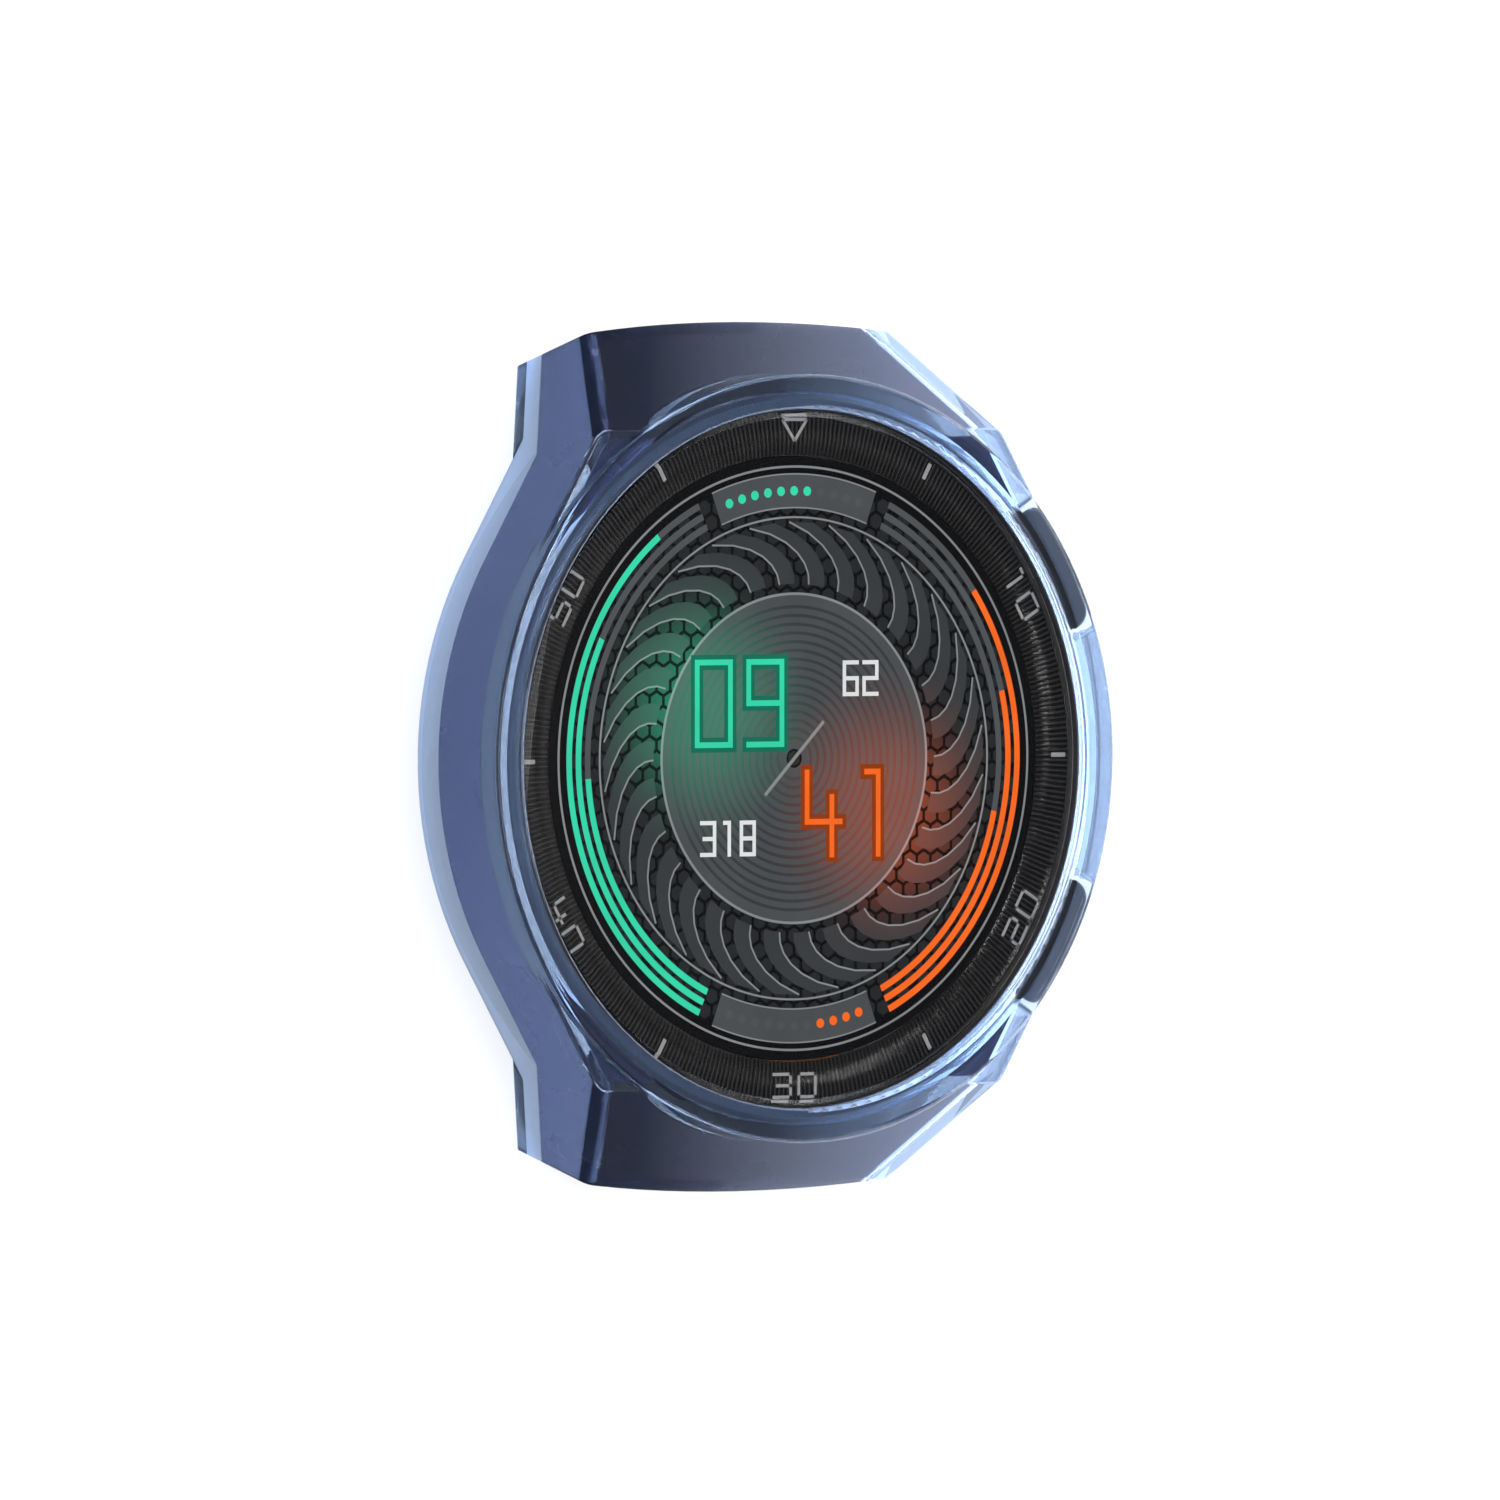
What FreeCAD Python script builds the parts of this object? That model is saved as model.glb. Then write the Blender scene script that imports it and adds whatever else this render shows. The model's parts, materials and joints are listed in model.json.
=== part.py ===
"""Round smartwatch head in its clear push-on cover, lying on its back, in millimetres.

+Z points out of the dial, +Y to twelve o'clock and +X to three o'clock, where the two buttons are.
The origin lies under the centre of the dial, on the plane that the cover's four lug tips rest on.
"""

import FreeCAD, Part
import math
import os

V = FreeCAD.Vector
X_AXIS = V(1, 0, 0)
Y_AXIS = V(0, 1, 0)
Z_AXIS = V(0, 0, 1)
ORIGIN = V(0, 0, 0)

# Extra length of every cutting tool past the wall that it cuts
OVERRUN = 4.0

# How far an edge may lie from its named place and still be picked for a round
EDGE_MATCH = 0.05

# Cover, outside: plan of the ring, shoulders and lug tips
RING_RADIUS = 24.25
SHOULDER_OVERHANG = 1.774
SHOULDER_DEGREES = 52.84
LUG_LENGTH = 6.1
LUG_CHEEK_WIDTH = 1.8
END_BULGE = 0.89

# Watch: half width of the hooded lug bridges that are welded to the round case
BRIDGE_HALF_WIDTH = 14.0

# Cover, outside: heights above the resting plane
SHOULDER_FRONT = 12.3
TIP_FRONT = 5.8
WALL_REAR = 4.5
DROOP_LENGTH = 6.0
TIP_SETBACK = 1.94

# Cover: walls, edges and its fit on the watch
COVER_WALL = 1.1
COVER_GAP = 0.15
LIP_THICKNESS = 0.85
LIP_CLEARANCE = 0.05
LIP_EDGE_ROUND = 0.28
SHOULDER_EDGE_ROUND = 0.2
LUG_EDGE_ROUND = 0.8
LUG_HOLLOW_ROUND = 0.8
REAR_SKIRT = 0.7

# Watch: lugs, which reach a little past the cover's open ends
LUG_PROTRUSION = 0.3
CASE_LUG_ROUND = 0.8

# Watch: heights of the glass and the rear faces
GLASS_FRONT = 12.15
REAR_FLAT = 2.2
LUG_RISE = 1.3
MIDDLE_REAR = 5.8

# Glass and bezel
GLASS_THICKNESS = 1.0
GLASS_BEVEL = 0.45
GLASS_SEAT_CLEARANCE = 0.05
BEZEL_WIDTH = 0.95
BEZEL_DROP = 0.15
BEZEL_DEPTH = 1.7
BEZEL_CHAMFER = 0.3
BEZEL_SEAT_CLEARANCE = 0.05
SEAL_THICKNESS = 0.15

# Display stack under the glass
PANEL_MARGIN = 3.0
PANEL_THICKNESS = 0.65
PANEL_CLEARANCE = 0.1
BACKING_MARGIN = 0.4
BACKING_THICKNESS = 0.15
MINUTE_RING_THICKNESS = 0.25
DISPLAY_FLEX_WIDTH = 8.0
FLEX_THICKNESS = 0.12
FLEX_CLEARANCE = 0.4

# Case frame
FRAME_WALL = 2.4
FRAME_FRONT_WALL = 1.35
FRAME_REAR_CHAMFER = 3.0
FLANGE_THICKNESS = 0.9
FLANGE_WIDTH = 3.4
SEAT_CLEARANCE = 0.05
VENT_RADIUS = 0.4
VENT_HEIGHT = 7.6

# Strap seats under the lug hoods
STRAP_GAP = 20.4
HOOD_THICKNESS = 1.0
STRAP_BAR_SETBACK = 2.0
STRAP_BAR_HEIGHT = 4.6
STRAP_POCKET_RADIUS = 1.5
STRAP_HOLE_RADIUS = 0.5
STRAP_HOLE_DEPTH = 1.3

# Rear cover and its fasteners
REAR_COVER_THICKNESS = 0.9
REAR_COVER_MARGIN = 0.8
REAR_SEAL_WIDTH = 0.4
REAR_SEAL_DEPTH = 0.35
REAR_SEAL_MARGIN = 0.2
REAR_SCREW_MARGIN = 0.8
REAR_SCREW_RADIUS = 0.35
REAR_SCREW_HEAD_RADIUS = 0.55
REAR_SCREW_HEAD_DEPTH = 0.35
REAR_SCREW_LENGTH = 1.5
REAR_SCREW_COUNT = 4
REAR_SCREW_CLEARANCE = 0.03

# Pulse sensor in the middle of the rear cover
SENSOR_RISE_MARGIN = 2.4
SENSOR_RIM_RADIUS = 10.2
SENSOR_RIM_RISE = 1.1
WINDOW_RADIUS = 9.6
WINDOW_EDGE_RISE = 1.35
WINDOW_WALL = 0.9
WINDOW_RIM_WIDTH = 0.9
SENSOR_BOARD_THICKNESS = 0.6
SENSOR_BOARD_CLEARANCE = 0.1
BAFFLE_LED_GAP = 0.34
BAFFLE_DIODE_GAP = 0.8
BAFFLE_WALL = 0.5
BAFFLE_SPOKE_COUNT = 4
LED_SIZE = 1.5
LED_HEIGHT = 0.6
LED_COUNT = 4
LED_CIRCLE = 1.5
DIODE_LENGTH = 2.2
DIODE_WIDTH = 1.4
DIODE_HEIGHT = 0.5
DIODE_COUNT = 8
DIODE_BAFFLE_GAP = 0.6

# Charging contacts and magnets on the rear cover
CONTACT_RADIUS = 0.9
CONTACT_PITCH = 5.0
CONTACT_MARGIN = 0.2
CONTACT_LENGTH = 1.6
CONTACT_COLLAR = 0.3
CONTACT_CLEARANCE = 0.03
MAGNET_RADIUS = 1.4
MAGNET_THICKNESS = 0.9
MAGNET_PITCH = 12.0
MAGNET_MARGIN = 0.05

# Chassis, board and battery
CHASSIS_GAP = 0.25
CHASSIS_THICKNESS = 0.6
CHASSIS_CLEARANCE = 0.1
BOARD_GAP = 0.1
BOARD_THICKNESS = 0.8
BOARD_MARGIN = 0.9
BOARD_SCREW_RADIUS = 0.4
BOARD_SCREW_HEAD_RADIUS = 0.8
BOARD_SCREW_HEAD_HEIGHT = 0.35
BOARD_SCREW_CLEARANCE = 0.03
BOARD_SCREW_MARGIN = 2.5
BOARD_SCREW_BITE = 0.45
CHIP_HEIGHT = 0.8
SHIELD_LENGTH = 15.0
SHIELD_WIDTH = 4.4
SHIELD_HEIGHT = 1.2
SHIELD_WALL = 0.15
SHIELD_MARGIN = 0.74
BATTERY_MARGIN = 2.0
BATTERY_SHIELD_GAP = 0.7
BATTERY_THICKNESS = 3.3
BATTERY_GAP = 0.1
BATTERY_EDGE_ROUND = 0.6
BATTERY_Y = 2.4
PAD_RADIUS = 8.0
LEAD_WIDTH = 3.0
CONNECTOR_LENGTH = 4.4
CONNECTOR_WIDTH = 1.8

# Antenna ring under the bezel
ANTENNA_WIDTH = 0.8
ANTENNA_CLEARANCE = 0.06
ANTENNA_GAP_DEGREES = 12.0

# Vibration motor
HAPTIC_LENGTH = 11.0
HAPTIC_WIDTH = 4.2
HAPTIC_HEIGHT = 3.0
HAPTIC_WALL = 0.3
HAPTIC_TRAVEL = 0.3
HAPTIC_CLEARANCE = 0.1
HAPTIC_BATTERY_GAP = 2.3

# Buttons
BUTTON_ANGLE_DEGREES = 30.5
BUTTON_LENGTH = 8.7
BUTTON_FRONT = 11.6
BUTTON_HEIGHT = 4.3
BUTTON_PROUD = 0.5
BUTTON_THICKNESS = 1.25
BUTTON_CORNER_ROUND = 1.1
BUTTON_EDGE_ROUND = 0.3
BUTTON_RECESS_MARGIN = 0.2
BUTTON_TRAVEL = 0.4
NOTCH_LENGTH = 10.0
NOTCH_CORNER_ROUND = 0.8
STEM_RADIUS = 0.8
STEM_CLEARANCE = 0.05
STEM_CHASSIS_GAP = 0.1
STEM_END_INSET = 0.85
CLIP_RADIUS = 1.2
CLIP_THICKNESS = 0.3
CLIP_GROOVE_DEPTH = 0.25
CLIP_GROOVE_PLAY = 0.02
CLIP_SEAT_PLAY = 0.03
CLIP_MOUTH_WIDTH = 0.96
O_RING_SECTION_RADIUS = 0.18
O_RING_INSET = 1.3
O_RING_PLAY = 0.02

# Key switches behind the buttons
SWITCH_LENGTH = 3.2
SWITCH_HEIGHT = 2.0
SWITCH_DEPTH = 1.0
DOME_RADIUS = 0.7
DOME_RISE = 0.3
DOME_CLEARANCE = 0.05
BRACKET_THICKNESS = 0.4
BRACKET_HALF_DEGREES = 44.0
BRACKET_CLEARANCE = 0.3

# Vent
MEMBRANE_RADIUS = 1.2
MEMBRANE_THICKNESS = 0.2

# Heights that follow from the sizes above
GLASS_REAR = GLASS_FRONT - GLASS_THICKNESS
BEZEL_FRONT = GLASS_FRONT - BEZEL_DROP
BEZEL_LEDGE = GLASS_REAR - SEAL_THICKNESS
FRAME_FRONT = BEZEL_FRONT - BEZEL_DEPTH
PANEL_REAR = GLASS_REAR - PANEL_THICKNESS
BACKING_REAR = PANEL_REAR - BACKING_THICKNESS
CHASSIS_FRONT = BACKING_REAR - CHASSIS_GAP
CHASSIS_REAR = CHASSIS_FRONT - CHASSIS_THICKNESS
BOARD_FRONT = CHASSIS_REAR - BOARD_GAP
BOARD_REAR = BOARD_FRONT - BOARD_THICKNESS
STEM_HEIGHT = CHASSIS_REAR - CLIP_RADIUS - STEM_CHASSIS_GAP
BATTERY_FRONT = BOARD_REAR - CHIP_HEIGHT - BATTERY_GAP
BATTERY_REAR = BATTERY_FRONT - BATTERY_THICKNESS
REAR_COVER_FRONT = REAR_FLAT + REAR_COVER_THICKNESS
FLANGE_FRONT = REAR_COVER_FRONT + FLANGE_THICKNESS
LIP_REAR = BEZEL_FRONT + COVER_GAP
RING_FRONT = LIP_REAR + LIP_THICKNESS
SENSOR_BOARD_REAR = REAR_COVER_FRONT
SENSOR_BOARD_FRONT = SENSOR_BOARD_REAR + SENSOR_BOARD_THICKNESS
PLUG_REAR = BATTERY_FRONT + FLEX_THICKNESS

# Plan of the lugs that follows from the sizes above
SHOULDER_REACH = RING_RADIUS + SHOULDER_OVERHANG
SHOULDER_HALF_WIDTH = SHOULDER_REACH * math.cos(math.radians(SHOULDER_DEGREES))
SHOULDER_HALF_LENGTH = SHOULDER_REACH * math.sin(math.radians(SHOULDER_DEGREES))
TIP_HALF_WIDTH = STRAP_GAP / 2 + LUG_CHEEK_WIDTH
TIP_HALF_LENGTH = SHOULDER_HALF_LENGTH + LUG_LENGTH
TIP_REAR_HALF_LENGTH = TIP_HALF_LENGTH - TIP_SETBACK
DROOP_START_HALF_LENGTH = TIP_REAR_HALF_LENGTH - DROOP_LENGTH
STRAP_BAR_REACH = TIP_REAR_HALF_LENGTH - STRAP_BAR_SETBACK

# Radii and insets that follow from the sizes above
WATCH_INSET = COVER_WALL + COVER_GAP
CASE_RADIUS = RING_RADIUS - WATCH_INSET
GLASS_SEAT_RADIUS = CASE_RADIUS - BEZEL_WIDTH
GLASS_RADIUS = GLASS_SEAT_RADIUS - GLASS_SEAT_CLEARANCE
LIP_RADIUS = GLASS_RADIUS + LIP_CLEARANCE
CAVITY_RADIUS = CASE_RADIUS - FRAME_WALL
FRONT_CAVITY_RADIUS = CASE_RADIUS - FRAME_FRONT_WALL
REAR_OPENING_RADIUS = CAVITY_RADIUS - FLANGE_WIDTH
PANEL_RADIUS = GLASS_RADIUS - PANEL_MARGIN
BOARD_RADIUS = CAVITY_RADIUS - BOARD_MARGIN
BOARD_SCREW_CIRCLE = BOARD_RADIUS - BOARD_SCREW_MARGIN
REAR_COVER_RADIUS = CASE_RADIUS - FRAME_REAR_CHAMFER - REAR_COVER_MARGIN
REAR_SCREW_CIRCLE = REAR_COVER_RADIUS - REAR_SCREW_MARGIN
SENSOR_RISE_RADIUS = REAR_OPENING_RADIUS - SENSOR_RISE_MARGIN
CONTACT_CIRCLE = REAR_OPENING_RADIUS - CONTACT_RADIUS - CONTACT_COLLAR - CONTACT_MARGIN
CONTACT_REACH = math.sqrt(CONTACT_CIRCLE ** 2 - (CONTACT_PITCH / 2) ** 2)
MAGNET_CIRCLE = REAR_OPENING_RADIUS - MAGNET_RADIUS - MAGNET_MARGIN
MAGNET_REACH = math.sqrt(MAGNET_CIRCLE ** 2 - (MAGNET_PITCH / 2) ** 2)
BUTTON_FACE_RADIUS = RING_RADIUS + BUTTON_PROUD
BUTTON_BACK_RADIUS = BUTTON_FACE_RADIUS - BUTTON_THICKNESS
BUTTON_REAR = BUTTON_FRONT - BUTTON_HEIGHT
BAFFLE_INNER_RADIUS = LED_CIRCLE + LED_SIZE / math.sqrt(2) + BAFFLE_LED_GAP
DIODE_CIRCLE = BAFFLE_INNER_RADIUS + BAFFLE_WALL + DIODE_BAFFLE_GAP + DIODE_WIDTH / 2
BAFFLE_OUTER_RADIUS = DIODE_CIRCLE + DIODE_WIDTH / 2 + BAFFLE_DIODE_GAP
STEM_END_REACH = CAVITY_RADIUS - STEM_END_INSET
O_RING_REACH = CASE_RADIUS - O_RING_INSET
CLIP_SEAT_REACH = math.sqrt(CAVITY_RADIUS ** 2 - CLIP_RADIUS ** 2)
DOME_REACH = STEM_END_REACH - BUTTON_TRAVEL - DOME_CLEARANCE
SWITCH_BACK_REACH = DOME_REACH - DOME_RISE - SWITCH_DEPTH
BRACKET_OUTER_RADIUS = SWITCH_BACK_REACH
BRACKET_INNER_RADIUS = BRACKET_OUTER_RADIUS - BRACKET_THICKNESS

# Places of the shield, cell and motor, each kept clear of the one before
SHIELD_CORNER_REACH = BRACKET_INNER_RADIUS - SHIELD_MARGIN
SHIELD_EDGE_REACH = math.sqrt(SHIELD_CORNER_REACH ** 2 - (SHIELD_LENGTH / 2) ** 2)
SHIELD_REACH = SHIELD_EDGE_REACH - SHIELD_WIDTH / 2
BATTERY_RIGHT_REACH = SHIELD_EDGE_REACH - SHIELD_WIDTH - BATTERY_SHIELD_GAP
BATTERY_LEFT_REACH = REAR_OPENING_RADIUS - BATTERY_MARGIN
BATTERY_RADIUS = (BATTERY_RIGHT_REACH + BATTERY_LEFT_REACH) / 2
BATTERY_X = (BATTERY_RIGHT_REACH - BATTERY_LEFT_REACH) / 2
HAPTIC_REACH = BATTERY_RADIUS - BATTERY_Y + HAPTIC_BATTERY_GAP + HAPTIC_WIDTH / 2

# Places on the board, as shares of its radius, for chips of the given sizes as shares of the same radius
CHIP_PLACE_SHARES = ((-0.1, 0.83), (0.28, 0.80), (-0.62, -0.50), (-0.78, 0.30), (0.40, -0.66))
CHIP_SIZE_SHARES = ((0.22, 0.13), (0.16, 0.14), (0.20, 0.18), (0.12, 0.22), (0.15, 0.12))
BOARD_SCREW_DEGREES = (112.0, 195.0, 312.0)
BATTERY_PLUG_PLACE_SHARES = (-0.36, -0.72)


def disc(radius, low, high, x=0, y=0):
    """Upright cylinder between two heights."""
    return Part.makeCylinder(radius, high - low, V(x, y, low), Z_AXIS)


def ring(inner, outer, low, high):
    """Upright ring of square section."""
    return disc(outer, low, high).cut(disc(inner, low - OVERRUN, high + OVERRUN))


def block(x_low, x_high, y_low, y_high, low, high):
    """Box between two corners."""
    return Part.makeBox(x_high - x_low, y_high - y_low, high - low, V(x_low, y_low, low))


def centred_block(length, width, low, high, x=0, y=0):
    """Box whose middle lies at a place in the plan."""
    return block(x - length / 2, x + length / 2, y - width / 2, y + width / 2, low, high)


def turned(points):
    """Solid of revolution about Z of an outline given as radius and height pairs."""
    corners = [V(radius, 0, height) for radius, height in points]
    wire = Part.makePolygon(corners + corners[:1])
    return Part.Face(wire).revolve(ORIGIN, Z_AXIS, 360)


def side_prism(points, half_width):
    """Solid of an outline in the YZ plane, given as pairs, over both sides of the middle."""
    corners = [V(-half_width, y, z) for y, z in points]
    wire = Part.makePolygon(corners + corners[:1])
    return Part.Face(wire).extrude(V(2 * half_width, 0, 0))


def spun(shape, degrees):
    """Copy of a shape turned about Z."""
    copy = shape.copy()
    copy.rotate(ORIGIN, Z_AXIS, degrees)
    return copy


def mirrored_in_y(shape):
    """Copy of a shape on the other side of the XZ plane."""
    return shape.mirror(ORIGIN, Y_AXIS)


def circle_places(count, radius, first_degrees):
    """Evenly spaced places on a circle in the plan."""
    step = 2 * math.pi / count
    start = math.radians(first_degrees)
    return [(radius * math.cos(start + step * i), radius * math.sin(start + step * i)) for i in range(count)]


def rounded(shape, radius, picks):
    """Shape with a round on every edge whose middle passes the test."""
    edges = [edge for edge in shape.Edges if picks(edge.CenterOfMass, edge)]
    return shape.makeFillet(radius, edges)


def solid_of(shape):
    """The single solid of a cleaned boolean result."""
    return shape.removeSplitter().Solids[0]


def side_normal_angle():
    """Angle of the shoulder's side face, which is tangent to the ring and passes through the shoulder."""
    reach = math.hypot(SHOULDER_HALF_WIDTH, SHOULDER_HALF_LENGTH)
    return math.atan2(SHOULDER_HALF_LENGTH, SHOULDER_HALF_WIDTH) - math.acos(RING_RADIUS / reach)


def lug_normal():
    """Outward normal of the side face between the shoulder and the lug tip."""
    across = SHOULDER_HALF_WIDTH - TIP_HALF_WIDTH
    along = TIP_HALF_LENGTH - SHOULDER_HALF_LENGTH
    span = math.hypot(across, along)
    return V(along / span, across / span, 0)


def crossing(normal_a, reach_a, normal_b, reach_b):
    """Where two lines in the plan meet, each given by its outward normal and its reach from the centre."""
    spread = normal_a.x * normal_b.y - normal_a.y * normal_b.x
    x = (reach_a * normal_b.y - reach_b * normal_a.y) / spread
    y = (reach_b * normal_a.x - reach_a * normal_b.x) / spread
    return V(x, y, 0)


def plan_prism(inset, end_reach, low, high):
    """Upright prism on the plan outline, taken in by an inset, with straight ends at a given reach."""
    angle = side_normal_angle()
    side = V(math.cos(angle), math.sin(angle), 0)
    lug = lug_normal()
    lug_reach = lug.x * SHOULDER_HALF_WIDTH + lug.y * SHOULDER_HALF_LENGTH - inset
    radius = RING_RADIUS - inset
    touch = side * radius
    shoulder = crossing(side, radius, lug, lug_reach)
    tip = crossing(lug, lug_reach, Y_AXIS, end_reach)
    quarter = [touch, shoulder, tip]
    right = [V(p.x, -p.y, 0) for p in reversed(quarter)] + quarter
    left = [V(-p.x, p.y, 0) for p in reversed(right)]
    edges = []
    for points, side_x in ((right, radius), (left, -radius)):
        before, after = points[2], points[3]
        edges.append(Part.makeLine(points[0], points[1]))
        edges.append(Part.makeLine(points[1], before))
        edges.append(Part.Arc(before, V(side_x, 0, 0), after).toShape())
        edges.append(Part.makeLine(after, points[4]))
        edges.append(Part.makeLine(points[4], points[5]))
    edges.append(Part.makeLine(right[-1], left[0]))
    edges.append(Part.makeLine(left[-1], right[0]))
    wire = Part.Wire(Part.__sortEdges__(edges))
    prism = Part.Face(wire).extrude(V(0, 0, high - low))
    prism.translate(V(0, 0, low))
    return prism


def slope_fall():
    """Drop of the lug's front face for each millimetre towards its tip."""
    return (SHOULDER_FRONT - TIP_FRONT) / (TIP_HALF_LENGTH - SHOULDER_HALF_LENGTH)


def slope_height(y, inset):
    """Height of the lug's front face, taken in by an inset, at a distance from the middle."""
    lean = math.sqrt(1 + slope_fall() ** 2)
    return SHOULDER_FRONT - slope_fall() * (y - SHOULDER_HALF_LENGTH) - inset * lean


def slope_start(inset):
    """Distance from the middle at which the taken-in shoulder face meets the taken-in lug face."""
    below_front = SHOULDER_FRONT - inset - slope_height(SHOULDER_HALF_LENGTH, inset)
    return SHOULDER_HALF_LENGTH - below_front / slope_fall()


def rear_fall():
    """Drop of the drooping rear edge for each millimetre towards the lug tip."""
    return WALL_REAR / (TIP_REAR_HALF_LENGTH - DROOP_START_HALF_LENGTH)


def rear_height_at_end(rise):
    """Height of the drooping rear edge beyond the lug tip, with a rise over the cover's own."""
    return rise - rear_fall() * (TIP_HALF_LENGTH + OVERRUN - TIP_REAR_HALF_LENGTH)


def profile_prism(inset, rise, skirt=0):
    """Side profile of the body, with sloping lug faces and a drooping rear, left open if rise is None.

    The skirt lowers the rear between the drooping ends.
    """
    far = TIP_HALF_LENGTH + OVERRUN
    front = SHOULDER_FRONT - inset
    start = slope_start(inset)
    top = [(-far, slope_height(far, inset)), (-start, front), (start, front), (far, slope_height(far, inset))]
    if rise is None:
        bottom = [(far, -SHOULDER_FRONT), (-far, -SHOULDER_FRONT)]
    else:
        end = rear_height_at_end(rise)
        middle = WALL_REAR + rise - skirt
        droop_start = DROOP_START_HALF_LENGTH + skirt / rear_fall()
        bottom = [(far, end), (droop_start, middle), (-droop_start, middle), (-far, end)]
    return side_prism(top + bottom, RING_RADIUS + OVERRUN)


def end_trim(protrusion):
    """Body between the two slanted, slightly bulging end faces, each moved out by a protrusion."""
    reach = TIP_REAR_HALF_LENGTH + protrusion
    lean = (TIP_HALF_LENGTH - TIP_REAR_HALF_LENGTH) / TIP_FRONT
    radius = (TIP_HALF_WIDTH ** 2 + END_BULGE ** 2) / (2 * END_BULGE)
    wide = RING_RADIUS + OVERRUN
    sag = radius - math.sqrt(radius ** 2 - wide ** 2)
    corner = reach + END_BULGE - sag
    edges = [
        Part.Arc(V(wide, corner, 0), V(0, reach + END_BULGE, 0), V(-wide, corner, 0)).toShape(),
        Part.makeLine(V(-wide, corner, 0), V(-wide, 0, 0)),
        Part.makeLine(V(-wide, 0, 0), V(wide, 0, 0)),
        Part.makeLine(V(wide, 0, 0), V(wide, corner, 0)),
    ]
    rise = RING_FRONT + OVERRUN
    half = Part.Face(Part.Wire(edges)).extrude(V(0, lean * rise, rise))
    level = block(-wide, wide, 0, TIP_HALF_LENGTH + OVERRUN, 0, rise)
    half = half.common(level).fuse(block(-wide, wide, 0, reach - sag, 0, rise))
    return half.fuse(mirrored_in_y(half)).removeSplitter()


def button_sides():
    """Turn of each button about Z, by the button's name."""
    return {"upper": BUTTON_ANGLE_DEGREES, "lower": -BUTTON_ANGLE_DEGREES}


def button_window(length, back_radius, low, high):
    """Space in front of a wall, as long as a button or its notch, facing +X before it is turned."""
    space = block(0, BUTTON_FACE_RADIUS + OVERRUN, -length / 2, length / 2, low, high)
    return space.cut(disc(back_radius, low - OVERRUN, high + OVERRUN))


def cover_notch(degrees):
    """Cut in the cover round one button, open at the rear so that the cover pushes on from the front."""
    notch = button_window(NOTCH_LENGTH, GLASS_RADIUS, -OVERRUN, LIP_REAR)
    notch = rounded(notch, NOTCH_CORNER_ROUND, is_notch_corner)
    return spun(notch, degrees)


def is_notch_corner(at, edge):
    """True for the two front edges of a notch that run outwards."""
    at_front = abs(at.z - LIP_REAR) < EDGE_MATCH
    at_side = abs(abs(at.y) - NOTCH_LENGTH / 2) < EDGE_MATCH
    return at_front and at_side


def bumper_cover():
    """One-piece clear cover: a lip round the glass, side walls, and hoods over the lugs with open ends."""
    far = TIP_HALF_LENGTH + OVERRUN
    body = plan_prism(0, far, -OVERRUN, RING_FRONT)
    body = body.common(profile_prism(0, 0, REAR_SKIRT)).common(end_trim(0))
    body = solid_of(body)
    rear_edges = [edge for edge in body.Edges if is_skirt_edge(edge.CenterOfMass, edge)]
    body = body.makeChamfer(REAR_SKIRT, rear_edges)
    body = rounded(body, LUG_EDGE_ROUND, is_lug_edge)
    body = rounded(body, SHOULDER_EDGE_ROUND, is_shoulder_edge)
    lip = rounded(disc(RING_RADIUS, WALL_REAR, RING_FRONT), LIP_EDGE_ROUND, is_front_edge)
    body = body.fuse(lip)
    hollow = plan_prism(COVER_WALL, far, -OVERRUN, SHOULDER_FRONT)
    hollow = hollow.common(profile_prism(COVER_WALL, None))
    hollow = rounded(solid_of(hollow), LUG_HOLLOW_ROUND, is_hollow_lug_edge)
    hollow = hollow.fuse(disc(RING_RADIUS - COVER_WALL, -OVERRUN, LIP_REAR))
    body = body.cut(hollow).cut(disc(LIP_RADIUS, -OVERRUN, RING_FRONT + OVERRUN))
    for degrees in button_sides().values():
        body = body.cut(cover_notch(degrees))
    body = solid_of(body)
    return rounded(body, LIP_EDGE_ROUND, is_lip_inner_edge)


def is_skirt_edge(at, edge):
    """True for the outer rear edges of the cover's skirt."""
    at_rear = abs(at.z - WALL_REAR + REAR_SKIRT) < EDGE_MATCH
    return at_rear and abs(at.x) > EDGE_MATCH


def is_front_edge(at, edge):
    """True for an edge in the plane of the lip's front."""
    return abs(at.z - RING_FRONT) < EDGE_MATCH


def is_lip_inner_edge(at, edge):
    """True for the front edge of the lip at the glass."""
    round_edge = isinstance(edge.Curve, Part.Circle)
    return round_edge and is_front_edge(at, edge) and abs(edge.Curve.Radius - LIP_RADIUS) < EDGE_MATCH


def on_lug_side(at, inset):
    """True for a place where a lug's sloping face, taken in by an inset, meets its side face."""
    on_slope = abs(at.z - slope_height(abs(at.y), inset)) < EDGE_MATCH
    past_shoulder = abs(at.y) > SHOULDER_HALF_LENGTH + EDGE_MATCH
    return on_slope and past_shoulder and abs(at.x) > EDGE_MATCH


def is_lug_edge(at, edge):
    """True for the four edges between the sloping and side faces of the cover's lugs."""
    return on_lug_side(at, 0)


def is_hollow_lug_edge(at, edge):
    """True for the four edges between the sloping and side faces of the room inside the cover's lugs."""
    return on_lug_side(at, COVER_WALL)


def is_case_lug_edge(at, edge):
    """True for the four edges between the sloping and side faces of the watch's own lugs."""
    return on_lug_side(at, WATCH_INSET)


def is_shoulder_edge(at, edge):
    """True for the front edges of the flat shoulders that face sideways."""
    in_front = abs(at.z - SHOULDER_FRONT) < EDGE_MATCH
    return in_front and abs(at.x) > EDGE_MATCH and abs(at.y) < SHOULDER_HALF_LENGTH - EDGE_MATCH


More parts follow.
